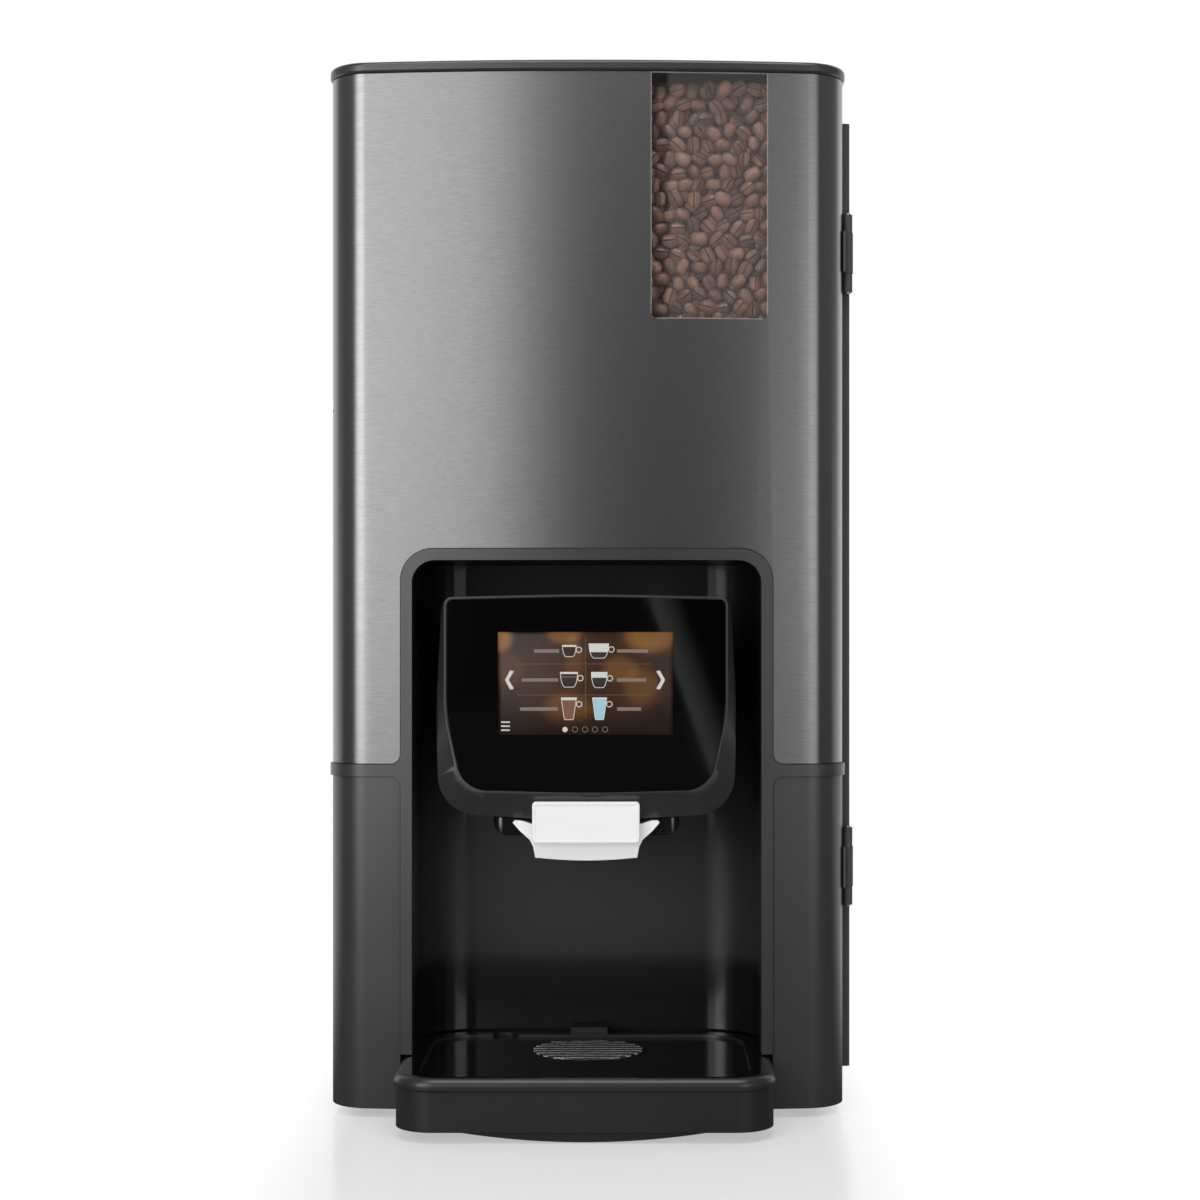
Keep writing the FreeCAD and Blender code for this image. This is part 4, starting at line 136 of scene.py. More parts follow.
# %% A helper for shader graphs
class Graph:
    """The node graph of one finish."""

    def __init__(self, name, color, roughness, metallic=0.0, **sockets):
        self.material = bpy.data.materials.new(name)
        self.material.use_nodes = True
        self.tree = self.material.node_tree
        self.shader = self.tree.nodes["Principled BSDF"]
        self.set("Base Color", (*color, 1.0))
        self.set("Roughness", roughness)
        self.set("Metallic", metallic)
        for socket, value in sockets.items():
            self.set(socket, value)
        self.place = self.node("ShaderNodeTexCoord").outputs["Object"]

    def set(self, socket, value, node=None):
        wire(self.tree, node or self.shader, socket, value)

    def node(self, kind, settings=None, **sockets):
        return added(self.tree, kind, settings, **sockets)

    def axes(self):
        """The object's own x, y and z, in metres."""
        return self.node("ShaderNodeSeparateXYZ", Vector=self.place).outputs

    def stretched(self, scale):
        """The object's own coordinates, scaled along each axis."""
        return self.node("ShaderNodeMapping", Vector=self.place, Scale=scale).outputs[0]

    def noise(self, scale, detail=2.0, roughness=0.5, stretch=(1, 1, 1)):
        """Soft lumps, scale of them in a metre."""
        return self.node("ShaderNodeTexNoise", Vector=self.stretched(stretch), Scale=scale, Detail=detail,
                         Roughness=roughness).outputs[0]

    def cells(self, scale):
        """Cells with a middle each, scale of them in a metre."""
        return self.node("ShaderNodeTexVoronoi", Vector=self.stretched((1, 1, 1)), Scale=scale).outputs[0]

    def span(self, value, low, high, start=0.0, end=1.0):
        """A value of start..end taken to low..high."""
        return self.node("ShaderNodeMapRange", Value=value, From_Min=start, From_Max=end, To_Min=low,
                         To_Max=high).outputs[0]

    def about(self, value, middle, reach, start=0.0, end=1.0):
        """A value of start..end taken to middle, less or more by reach."""
        return self.span(value, middle - reach, middle + reach, start, end)

    def sums(self, operation, first, second):
        return self.node("ShaderNodeMath", {"operation": operation}, i0=first, i1=second).outputs[0]

    def shades(self, value, *stops):
        """A colour ramp: each stop is a place and a colour."""
        ramp = self.node("ShaderNodeValToRGB", Fac=value)
        elements = ramp.color_ramp.elements
        while len(elements) < len(stops):
            elements.new(0.5)
        for element, (at, color) in zip(elements, stops):
            element.position = at
            element.color = (*color, 1.0)
        return ramp.outputs[0]

    def tint(self, value, color, spread, start=0.3, end=0.7, socket="Base Color"):
        """A colour that drifts by spread to both sides as the value goes from start to end."""
        self.set(socket, self.shades(value, *zip((start, end), around(color, spread))))

    def bump(self, height, depth, strength=1.0):
        """The height's bump, with its depth in metres, linked to the shader's normal."""
        bump = self.node("ShaderNodeBump", Height=height, Distance=depth, Strength=strength)
        self.set("Normal", bump.outputs[0])


finishes = {}


def finish(graph, slot):
    finishes[slot] = graph.material
    print("finish:", slot)


# %% [markdown]
# ## Moulded plastics
# The lid, the frame round the niche and the lower corners are one dark plastic with a spark-eroded
# grain, which breaks the reflections up into a soft sheen. The grain is a fine bump, about 0.4 mm from
# one ridge to the next, and the sheen itself drifts a little over a large part, as it does where the
# mould's cooling was uneven.

# %% Plastics
PLASTIC_DRIFT = 14
DRIFT_SHINE, GRAIN_SHINE = 0.04, 0.03


def moulded(slot, color, roughness, grain=2600, depth=2e-5, spread=0.06, **sockets):
    """A plastic: grain counts its ridges in a metre, depth is their height, spread the drift in colour."""
    graph = Graph(slot, color, roughness, **sockets)
    drift = graph.noise(PLASTIC_DRIFT, 3)
    graph.tint(drift, color, spread)
    fine = graph.noise(grain, 2, 0.6)
    graph.set("Roughness", graph.sums("ADD", graph.about(drift, roughness, DRIFT_SHINE),
                                      graph.about(fine, 0, GRAIN_SHINE)))
    graph.bump(fine, depth)
    finish(graph, slot)
    return graph


LACQUER = {"grain": 60, "depth": 6e-6, "spread": 0.1}
moulded("satin_plastic", (0.03, 0.03, 0.031), 0.31, Specular_IOR_Level=0.8)
moulded("satin_black", (0.018, 0.018, 0.019), 0.32, Specular_IOR_Level=0.6)
moulded("black_plastic", (0.018, 0.018, 0.019), 0.5)
moulded("grey_plastic", (0.16, 0.165, 0.175), 0.5)
moulded("white_plastic", (0.87, 0.87, 0.87), 0.25, grain=900, depth=4e-6, spread=0.01)
moulded("gloss_black", (0.004, 0.004, 0.0045), 0.1, **LACQUER, Specular_IOR_Level=0.85)
moulded("rubber", (0.02, 0.02, 0.02), 0.75, grain=1500, depth=5e-5)
moulded("pod_black", (0.022, 0.022, 0.023), 0.34, Specular_IOR_Level=1.0)

# %% [markdown]
# The cup niche is lacquered. It is glossy down near the tray and duller up behind the screen. Its colour is
# painted darker towards both ends: a dark band low down is a painted reflection of the tray, and the black
# up behind the screen is painted shade. All these heights are in metres.

# %% The niche's lacquer
# Colour by height: a painted reflection of the tray at the bottom, the lacquer's own grey, then painted
# shade at the top.
NICHE_GREY, NICHE_PAINTED_TRAY_REFLECTION, NICHE_PAINTED_SHADE = (0.03, 0.03, 0.031), (0.008, 0.008, 0.008), (0.004, 0.004, 0.004)
NICHE_GREY_AND_PAINTED_SHADE = ((0.088, NICHE_PAINTED_TRAY_REFLECTION), (0.097, NICHE_GREY), (0.2, NICHE_GREY), (0.34, NICHE_PAINTED_SHADE))

lacquered = moulded("niche_black", NICHE_GREY, 0.42, **LACQUER, Coat_Weight=0.3, Coat_Roughness=0.08)
height = lacquered.axes()[2]
low_part = lacquered.span(height, 0.45, 1.0, 0.075, 0.125)
high_part = lacquered.span(height, 0.44, 0.6, 0.23, 0.33)
lacquered.set("Roughness", lacquered.sums("MULTIPLY", low_part, high_part))
# The base colour carries the painted reflection and the painted shade by height.
lacquered.set("Base Color", lacquered.shades(height, *NICHE_GREY_AND_PAINTED_SHADE))

# %% [markdown]
# ## Sheet metals
# The front's brushed grain comes from an abrasive belt that ran sideways, so the lines are long across
# and hair fine in height. A noise that is stretched that way gives both the streaks of colour and the
# tiny ridges. The housing's sheets are powder coated, which leaves the skin of an orange, and the base
# is zinc coated.

# %% Sheet metals
HAIRS_PER_LINE, LINE_SHARE, HAIR_SHARE = 2.1, 0.6, 0.4
BRUSHED_SHINE, COATED_SHINE = 0.035, 0.05
COAT_DRIFT, COAT_PEEL, COAT_DEPTH = 9, 420, 4e-5
FLAKES, DULL_FLAKES = 110, 75


def brushed(slot, color, roughness, along, spread=0.16, depth=1.5e-6, across=(0, 0, 1), pull=0.7):
    """Lines, counted in a metre along each axis. The shine is pulled out across them: pull is how much."""
    graph = Graph(slot, color, roughness, 1.0, Anisotropic=pull)
    tangent = graph.node("ShaderNodeCombineXYZ", X=across[0], Y=across[1], Z=across[2])
    graph.set("Tangent", tangent.outputs[0])
    lines = graph.noise(1, 4, 0.7, along)
    hairs = graph.noise(1, 2, 0.6, tuple(count * HAIRS_PER_LINE for count in along))
    mixed = graph.sums("ADD", graph.sums("MULTIPLY", lines, LINE_SHARE),
                       graph.sums("MULTIPLY", hairs, HAIR_SHARE))
    graph.tint(mixed, color, spread, 0.34, 0.66)
    graph.set("Roughness", graph.about(mixed, roughness, -BRUSHED_SHINE, 0.3, 0.7))
    graph.bump(mixed, depth)
    finish(graph, slot)


def coated(slot, color, roughness):
    graph = Graph(slot, color, roughness)
    peel = graph.noise(COAT_PEEL, 2)
    graph.tint(graph.noise(COAT_DRIFT, 3), color, 0.08)
    graph.set("Roughness", graph.about(peel, roughness, COATED_SHINE))
    graph.bump(peel, COAT_DEPTH, 0.7)
    finish(graph, slot)


def spangled(slot, color, roughness):
    graph = Graph(slot, color, roughness, 1.0)
    graph.tint(graph.cells(FLAKES), color, 0.12, 0.1, 0.8)
    graph.set("Roughness", graph.span(graph.cells(DULL_FLAKES), roughness - 0.08, roughness + 0.1))
    graph.bump(graph.noise(700, 2), 4e-6)
    finish(graph, slot)


brushed("brushed_skin", (0.275, 0.268, 0.27), 0.31, (120, 120, 2100), spread=0.15, depth=1e-6)
brushed("bright_grille", (0.42, 0.42, 0.43), 0.24, (30, 900, 900), spread=0.1, across=(0, 1, 0), pull=0.4)
brushed("steel", (0.52, 0.52, 0.53), 0.3, (700, 700, 40), spread=0.12, pull=0.0)
coated("dark_sheet", (0.06, 0.06, 0.063), 0.48)
spangled("zinc_sheet", (0.5, 0.51, 0.53), 0.38)

# %% [markdown]
# ## Castings, brass and the boiler's jacket
# Cast aluminium keeps the sand or die texture as soft lumps, and the brass fittings have finer ones.
# The boiler wears a jacket of closed foam, whose cells are a millimetre or two.

# %% Castings and foam
CAST_DRIFT, CAST_WEAR, CAST_SHINE = 30, 55, 0.08
LUMPS_PER_CELL = 1.7


def cast(slot, color, roughness, metallic, size, depth, spread=0.1):
    """A lumpy surface: size counts the lumps in a metre, depth is their height."""
    graph = Graph(slot, color, roughness, metallic)
    mixed = graph.sums("MULTIPLY", graph.cells(size), graph.noise(size * LUMPS_PER_CELL, 3))
    graph.tint(graph.noise(CAST_DRIFT, 4), color, spread)
    graph.set("Roughness", graph.about(graph.noise(CAST_WEAR, 2), roughness, CAST_SHINE))
    graph.bump(mixed, depth)
    finish(graph, slot)


cast("aluminium", (0.55, 0.56, 0.575), 0.42, 1.0, 900, 6e-5)
cast("brass", (0.63, 0.44, 0.17), 0.32, 1.0, 1400, 1.2e-5)
cast("jacket", (0.085, 0.088, 0.095), 0.85, 0.0, 620, 2.5e-4, 0.2)

# %% [markdown]
# ## Clear parts
# The window and the hopper are clear plastic. A see-through share (alpha) with gloss on top shows the beans
# behind them sharply, and costs far less than bent light rays. Most of the window, right of a line near its
# left edge, is hazier and paler, and a light line is painted round its face as a painted highlight of the
# pane's cut edge.

# %% Clear plastics
SMEARS, SMEAR_SHINE = 35, 0.1
HAZE_START, HAZE_FULL = 52 * MM, 56 * MM
PANE_BORDER = (42.7, 118.8, 526.7, 700)
# The pane's border line is a painted highlight of its cut edge.
BORDER_PAINTED_HIGHLIGHT = 0.45
SOFT_EDGE = 0.15 * MM


def inside(graph, value, low, high):
    """1 between low and high, 0 outside, with a thin soft edge."""
    rise = graph.span(value, 0, 1, low - SOFT_EDGE, low + SOFT_EDGE)
    fall = graph.span(value, 1, 0, high - SOFT_EDGE, high + SOFT_EDGE)
    return graph.sums("MULTIPLY", rise, fall)


def in_frame(graph, border):
    """1 inside an upright rectangle of left, right, low and high, in mm."""
    left, right, low, high = (value * MM for value in border)
    axes = graph.axes()
    return graph.sums("MULTIPLY", inside(graph, axes[0], left, right), inside(graph, axes[2], low, high))


def clear(slot, color, alpha, edge, roughness, haze=0.0, border=None):
    """See-through from in front, more solid at a slant: edge is what the slant adds, haze what the paler
    part of the pane adds.

    Outside the border, a rectangle in mm, a light line is painted: a painted highlight of the pane's cut
    edge.
    """
    graph = Graph(slot, color, roughness)
    smears = graph.noise(SMEARS, 4, 0.6, (1, 1, 0.5))
    graph.set("Roughness", graph.span(smears, roughness, roughness + SMEAR_SHINE, 0.35, 0.75))
    slant = graph.node("ShaderNodeLayerWeight", Blend=0.3).outputs["Facing"]
    smeared = graph.span(smears, alpha * 0.8, alpha * 1.2, 0.3, 0.7)
    solid = graph.sums("ADD", graph.sums("MULTIPLY", slant, edge), smeared)
    # Right of a line near the left edge, the pane is more solid and paler.
    if haze:
        hazier_part = graph.span(graph.axes()[0], 0, haze, HAZE_START, HAZE_FULL)
        solid = graph.sums("ADD", solid, graph.sums("MULTIPLY", hazier_part, graph.span(smears, 0.7, 1.3)))
    # A painted highlight line round the pane's face, outside the border.
    if border:
        solid = graph.sums("ADD", solid, graph.span(in_frame(graph, border), BORDER_PAINTED_HIGHLIGHT, 0))
    graph.set("Alpha", solid)
    graph.material.surface_render_method = "BLENDED"
    finish(graph, slot)


clear("clear_plastic", (0.42, 0.42, 0.42), 0.012, 0.12, 0.06)
clear("window", (0.40, 0.36, 0.34), 0.012, 0.08, 0.05, haze=0.05, border=PANE_BORDER)
clear("cut_edge", (0.5, 0.5, 0.5), 0.75, 0.2, 0.25)

# %% [markdown]
# The screen's glass is black on its rear, apart from the rectangle where the picture shines through.

# %% The screen's glass
LIT_AREA = (-57.3, 56.6, 253.2, 320.2)
LIT_ALPHA = 0.12

glass = Graph("screen_glass", (0.001, 0.001, 0.001), 0.035, Specular_IOR_Level=0.5)
glass.set("Alpha", glass.span(in_frame(glass, LIT_AREA), 1.0, LIT_ALPHA))
glass.set("Roughness", glass.span(glass.noise(45, 4), 0.02, 0.06))
glass.material.surface_render_method = "BLENDED"
finish(glass, "screen_glass")

# %% [markdown]
# ## The lit picture
# Behind the black glass a colour panel shows a warm, out-of-focus background. It is drawn as light:
# patches of gold that fade into dark brown, made from soft round gradients, so no picture file is
# needed.

# %% The display's background
# Each patch: its middle's x and z, its half width and half height, all in mm, and its strength.
PATCHES = ((-57, 316, 13, 13, 0.72), (-14, 319, 16, 9, 0.5), (42, 318, 24, 16, 0.62),
           (22, 296, 16, 12, 0.34), (36, 284, 16, 18, 0.3), (-12, 270, 22, 14, 0.36),
           (-50, 296, 14, 14, 0.2), (-8, 300, 9, 24, 0.24), (0, 292, 76, 44, 0.14))
GOLD_SHADES = ((0.0, (0.006, 0.0025, 0.0015)), (0.3, (0.07, 0.028, 0.008)), (0.62, (0.195, 0.082, 0.02)),
               (1.0, (0.42, 0.22, 0.05)))
SHADED_FOOT = (252 * MM, 270 * MM)

display = Graph("display", (0.02, 0.012, 0.008), 0.3)
display_axes = display.axes()


def glow(x, z, wide, high):
    """A soft round patch of light about a point of the panel, in mm."""
    across = display.span(display_axes[0], -1, 1, (x - wide) * MM, (x + wide) * MM)
    up = display.span(display_axes[2], -1, 1, (z - high) * MM, (z + high) * MM)
    for socket in (across, up):
        socket.node.clamp = False
    square = display.sums("ADD", display.sums("MULTIPLY", across, across),
                          display.sums("MULTIPLY", up, up))
    faded = display.span(square, 1.0, 0.0)
    faded.node.interpolation_type = "SMOOTHERSTEP"
    return faded


warm = display.span(display.noise(60, 2), -0.05, 0.08)
for *patch, share in PATCHES:
    warm = display.sums("ADD", warm, display.sums("MULTIPLY", glow(*patch), share))
warm = display.sums("MULTIPLY", warm, display.span(display_axes[2], 0.02, 1.0, *SHADED_FOOT))
display.set("Emission Color", display.shades(warm, *GOLD_SHADES))
display.set("Emission Strength", 1.0)
finish(display, "display")

# %% [markdown]
# The symbols on the screen are lit too. Each of their colours is an ink of its own.

# %% Lit inks
def lamp_ink(name, color):
    """A plain lit ink for the screen's symbols."""
    graph = Graph(name, (0.02, 0.02, 0.02), 0.4)
    graph.tint(graph.noise(300, 1), color, 0.04, 0.2, 0.8, "Emission Color")
    graph.set("Emission Strength", 1.0)
    return graph.material


INKS = {
    "white": lamp_ink("ink_white", (0.78, 0.76, 0.72)),
    "grey": lamp_ink("ink_grey", (0.24, 0.20, 0.17)),
    "dark": lamp_ink("ink_dark", (0.026, 0.013, 0.008)),
    "brown": lamp_ink("ink_brown", (0.24, 0.095, 0.055)),
    "blue": lamp_ink("ink_blue", (0.42, 0.68, 0.80)),
    "line": lamp_ink("ink_line", (0.17, 0.09, 0.045)),
}

# %% [markdown]
# ## Roasted beans
# A bean's colour drifts from milk chocolate to near black, one bean to the next and over each bean, with a
# faint shine of oil. Each bean gets its own value on its mesh: a random roast, with painted light where the
# bean faces out and painted shade in its crease and in the deeper layers.

# %% Beans' finish
ROASTS_AND_PAINTED_SHADE = ((0.0, (0.014, 0.006, 0.004)), (0.5, (0.128, 0.059, 0.037)), (1.0, (0.32, 0.168, 0.108)))
MOTTLE, MOTTLE_REACH, BEAN_SKIN, BEAN_SKIN_DEPTH = 260, 0.1, 900, 6e-5

bean_look = Graph("beans", (0.1, 0.04, 0.02), 0.42)
shade = bean_look.node("ShaderNodeAttribute", {"attribute_name": "roast_and_painted_shade"}).outputs["Fac"]
mottle = bean_look.noise(MOTTLE, 3)
roast_and_painted_shade = bean_look.sums("ADD", shade, bean_look.about(mottle, 0, MOTTLE_REACH, 0.3, 0.7))
bean_look.set("Base Color", bean_look.shades(roast_and_painted_shade, *ROASTS_AND_PAINTED_SHADE))
bean_look.set("Roughness", bean_look.span(mottle, 0.24, 0.42))
bean_look.bump(bean_look.noise(BEAN_SKIN, 2), BEAN_SKIN_DEPTH)
finish(bean_look, "beans")

# %% [markdown]
# ## A finish for each node
# Every CAD node gets the finish that the record names for it. Parts that the next steps remake get
# theirs there.

# %% Give the nodes their finishes
def paint(piece, material):
    piece.data.materials.clear()
    piece.data.materials.append(material)


for name, node in nodes.items():
    paint(node, finishes[slot_of[name]])
print("painted:", len(nodes))

# %% [markdown]
# ## Softer edges
# A CAD solid has knife-sharp edges, and a real moulding or folded sheet never does: the small radius is
# what catches the light. A copy of the node is merged from its loose triangles, its flat faces are
# joined again, and each sharp edge gets a narrow bevel. The copy then stands for the node.

# %% Remake nodes with soft edges
MERGE_DISTANCE, FLAT_ANGLE = 2e-6, 0.3
SHARP_ANGLE, SHADED_ANGLE, BEVEL_SEGMENTS = 40, 50, 2


def made(name, bm, body, slot, material=None, smooth=35):
    """A finished piece from a bmesh: smooth shaded, riding on its body, with its slot."""
    mesh = bpy.data.meshes.new(name)
    bm.to_mesh(mesh)
    bm.free()
    for face in mesh.polygons:
        face.use_smooth = True
    mesh.set_sharp_from_angle(angle=radians(smooth))
    piece = bpy.data.objects.new(name, mesh)
    scene.collection.objects.link(piece)
    paint(piece, material or finishes[slot])
    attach(piece, body)
    return piece


def merged(name):
    """A node's mesh as one skin, with the triangles of each flat face joined."""
    bm = bmesh.new()
    bm.from_mesh(nodes[name].data)
    bmesh.ops.remove_doubles(bm, verts=bm.verts, dist=MERGE_DISTANCE)
    bmesh.ops.dissolve_limit(bm, angle_limit=radians(FLAT_ANGLE), use_dissolve_boundaries=False,
                             verts=bm.verts, edges=bm.edges)
    return bm


def softened(name, width):
    """The node's shape with a narrow round on each sharp edge."""
    bm = merged(name)
    sharp = [edge for edge in bm.edges
             if len(edge.link_faces) == 2 and edge.calc_face_angle(0) > radians(SHARP_ANGLE)]
    bmesh.ops.bevel(bm, geom=sharp, offset=width * MM, offset_type="OFFSET", segments=BEVEL_SEGMENTS,
                    profile=0.5, affect="EDGES", material=-1, clamp_overlap=True)
    body = nodes[name]["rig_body"]
    piece = made(name + "_soft", bm, body, slot_of[name], SPECIAL.get(name), smooth=SHADED_ANGLE)
    piece.modifiers.new("even_shading", "WEIGHTED_NORMAL").keep_sharp = True
    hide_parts(name)
    print(piece.name, len(sharp), "edges,", len(piece.data.polygons), "faces")
    return piece


SPECIAL = {"niche_liner": finishes["niche_black"], "screen_pod": finishes["pod_black"],
           "outlet_carriage": finishes["gloss_black"], "window_pane": finishes["window"]}
EDGE_WIDTHS = {
    "lid": 0.8, "trim_frame": 1.0, "lower_panel_left": 0.5, "lower_panel_right": 0.5,
    "upper_skin": 0.25, "niche_liner": 0.4, "screen_pod": 0.5, "screen_glass": 0.4,
    "outlet_cover": 0.7, "outlet_plate": 0.4, "outlet_carriage": 0.5, "drip_tray": 0.8,
    "drip_plate": 0.35, "drip_grille": 0.25, "left_side_panel": 0.3, "right_side_panel": 0.3,
    "feet": 0.8, "hinge_rail": 0.4, "hinge_leaves": 0.4, "window_pane": 0.4,
}
soft = {name: softened(name, width) for name, width in EDGE_WIDTHS.items()}

# %% [markdown]
# Two parts have two finishes. The tray's upper side is as glossy as its plate while its walls are
# satin, and the window's cut edges are dull and pale. A second material goes on the faces that look the
# right way.

# %% Two finishes on one part
TRAY_TOP = 35 * MM
FACES_OUT, FACES_UP = 0.75, 0.9


def paint_faces(piece, material, wanted):
    """Gives the faces that wanted(face) names a second material."""
    piece.data.materials.append(material)
    chosen = [face for face in piece.data.polygons if wanted(face)]
    for face in chosen:
        face.material_index = len(piece.data.materials) - 1
    print(piece.name, len(chosen), "faces in", material.name)


paint_faces(soft["window_pane"], finishes["cut_edge"], lambda face: abs(face.normal.y) < FACES_OUT)
paint_faces(soft["drip_tray"], finishes["gloss_black"],
            lambda face: face.normal.z > FACES_UP and face.center.z > TRAY_TOP)

# %% [markdown]
# ## A hopper full of beans
# The CAD has one solid fill, which is right for its weight. What the eye wants is single beans. One bean is
# a stretched ball, flat on one side, with a crease pressed along the flat. Copies of it lie in a few layers
# behind the window and on top of the heap, and a near-black core stands behind them as painted shade for
# the beans deeper in, so that no one looks into a void.

# %% One bean
BEAN_LONG, BEAN_WIDE, BEAN_HIGH = 12.0 * MM, 9.0 * MM, 7.4 * MM
BLUNT_ENDS, FLAT_SIDE = 0.28, 0.62
CREASE_DEPTH, CREASE_PINCH = 1.0 * MM, 0.24
CREASE_HALF, LIPS_HALF = 0.05 * BEAN_WIDE, 0.3 * BEAN_WIDE


def bean_form():
    """One bean about the origin, along X, flat side down, with a narrow crease along the flat."""
    bm = bmesh.new()
    lying = Matrix.Rotation(pi / 2, 4, "Y")
    bmesh.ops.create_uvsphere(bm, u_segments=12, v_segments=8, radius=0.5, matrix=lying)
    bmesh.ops.scale(bm, vec=(BEAN_LONG, BEAN_WIDE, BEAN_HIGH), verts=bm.verts)
    for vert in bm.verts:
        full = 1 + BLUNT_ENDS * (2 * vert.co.x / BEAN_LONG) ** 2
        vert.co.y *= full
        vert.co.z *= full * (FLAT_SIDE if vert.co.z < 0 else 1)
        if vert.co.z < -0.1 * BEAN_HIGH:
            if abs(vert.co.y) < CREASE_HALF:
                vert.co.z += CREASE_DEPTH
            elif abs(vert.co.y) < LIPS_HALF:
                vert.co.y *= CREASE_PINCH
    return bm


bean_mesh = bpy.data.meshes.new("one_bean")
form = bean_form()
form.to_mesh(bean_mesh)
form.free()
crease = {vert.index for vert in bean_mesh.vertices
          if abs(vert.co.y) < CREASE_HALF and -0.2 * BEAN_HIGH < vert.co.z < 0.05 * BEAN_HIGH
          and abs(vert.co.x) < 0.49 * BEAN_LONG}
print("one bean:", len(bean_mesh.polygons), "faces,", len(crease), "points in the crease")

# %% [markdown]
# The beans of one layer stand on a grid that is shaken and turned at random, from a fixed seed, so that
# each run gives the same heap. A bean is painted lighter where it faces out, and painted darker along its
# crease and in the deeper layers: painted light and shade for the light and shade between real beans.

# %% Layers of beans
seeded = random.Random(11)
STEP_ACROSS, STEP_ALONG = 10.2, 9.0
SHAKE, DEPTH_SHAKE = 1.6, 0.7
LEAN, CREASE_OUT_SHARE = 0.3, 0.5
SMALLEST, LARGEST = 0.86, 1.08
# The outward gain is painted light on the side of a bean that faces out; the crease shade is painted shade
# in its crease.
SHADE_REACH, OUTWARD_PAINTED_LIGHT, CREASE_SHADE = 0.22, 0.55, 0.5
HEAP_LOW, HEAP_HIGH = (39, -162.4, 500), (120, 53, 682.5)


def kept_in(point):
    """A bean's middle, kept inside the hopper's walls."""
    return Vector([min(max(value, low), high) for value, low, high in zip(point, HEAP_LOW, HEAP_HIGH)])


def tumbled(upright):
    """A random turn of a bean, with its flat side towards the viewer or away."""
    face_out = seeded.random() < CREASE_OUT_SHARE
    turn = Euler((seeded.uniform(-LEAN, LEAN) + (pi if face_out else 0), seeded.uniform(-LEAN, LEAN),
                  seeded.uniform(0, 2 * pi))).to_matrix().to_4x4()
    return Matrix.Rotation(pi / 2, 4, "X") @ turn if upright else turn


def layer(bm, roast_and_painted_shade_layer, xs, along, depth, upright, layer_roast_and_shade):
    """Beans over a rectangle: upright ones lie behind the window, the others on the heap's top."""
    row = 0
    a = along[0]
    while a <= along[1]:
        x = xs[0] + (row % 2) * STEP_ACROSS / 2
        while x <= xs[1]:
            jx, ja, jd = (seeded.uniform(-SHAKE, SHAKE) for _ in range(3))
            deep = depth + jd * DEPTH_SHAKE
            spot = kept_in(Vector((x + jx, deep, a + ja) if upright else (x + jx, a + ja, deep)))
            turn = tumbled(upright)
            size = seeded.uniform(SMALLEST, LARGEST)
            start = len(bm.verts)
            bm.from_mesh(bean_mesh)
            bm.verts.ensure_lookup_table()
            fresh = bm.verts[start:]
            placed = Matrix.Translation(spot * MM) @ turn @ Matrix.Scale(size, 4)
            bmesh.ops.transform(bm, matrix=placed, verts=fresh)
            # Each bean's random roast, with painted shade for a deeper layer, then painted light where a
            # point faces out and painted shade in the crease.
            bean_roast_and_shade = layer_roast_and_shade + seeded.uniform(-SHADE_REACH, SHADE_REACH)
            for index, vert in enumerate(fresh):
                out = (spot.y * MM - vert.co.y) if upright else (vert.co.z - spot.z * MM)
                dimmed = CREASE_SHADE if index in crease else 0.0
                vert[roast_and_painted_shade_layer] = bean_roast_and_shade + OUTWARD_PAINTED_LIGHT * out / BEAN_HIGH - dimmed
            x += STEP_ACROSS
        a += STEP_ALONG
        row += 1


def heap(name, layers):
    bm = bmesh.new()
    roast_and_painted_shade_layer = bm.verts.layers.float.new("roast_and_painted_shade")
    for row in layers:
        layer(bm, roast_and_painted_shade_layer, *row)
    return made(name, bm, nodes["coffee_beans"]["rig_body"], "beans", smooth=60)


# Each layer: from and to across, from and to along, its depth, whether it is upright, and its shade, which
# is painted darker for the deeper layers.
front_beans = heap("beans_at_window", [
    ((40, 121), (500, 683), -153.0, True, 0.1),
    ((43, 121), (504, 683), -158.0, True, 0.25),
    ((39, 121), (499, 683), -162.4, True, 0.42),
])
top_beans = heap("beans_on_top", [
    ((39, 121), (-150, 52), 671.0, False, 0.2),
    ((42, 121), (-152, 52), 677.0, False, 0.4),
])
bean_faces = len(front_beans.data.polygons) + len(top_beans.data.polygons)
print("beans:", bean_faces // len(bean_mesh.polygons))

# %% [markdown]
# The core is the CAD fill's own shape, with its points held a few millimetres inside the fill, so that it
# stays behind and under the loose beans. It has their finish but stores no roast or shade value, so it
# takes the darkest colour: painted shade for the beans deep in the heap.

# %% The heap's core
CORE_SIDE, CORE_FRONT, CORE_TOP = 2 * MM, 15 * MM, 14 * MM

bm = merged("coffee_beans")
bmesh.ops.subdivide_edges(bm, edges=bm.edges, cuts=3, use_grid_fill=True)
low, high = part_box("coffee_beans")
for vert in bm.verts:
    vert.co.x = min(max(vert.co.x, low.x + CORE_SIDE), high.x - CORE_SIDE)
    vert.co.y = min(max(vert.co.y, low.y + CORE_FRONT), high.y - CORE_SIDE)
    vert.co.z = min(vert.co.z, high.z - CORE_TOP)
# The near-black core is painted shade.
core = made("beans_core", bm, nodes["coffee_beans"]["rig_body"], "beans")
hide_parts("coffee_beans")

# %% [markdown]
# ## The screen's picture
# The symbols are thin plates just behind the glass: cups and tall glasses with ring handles, arrows to
# leaf through the menu, a menu button and page dots. A short plain bar stands beside each cup.

# %% The screen's panel
PANEL_FACE, PANEL_THICK, PANEL_BEVEL = -190.7, 6.5, 0.4
INK_THICK = 0.25

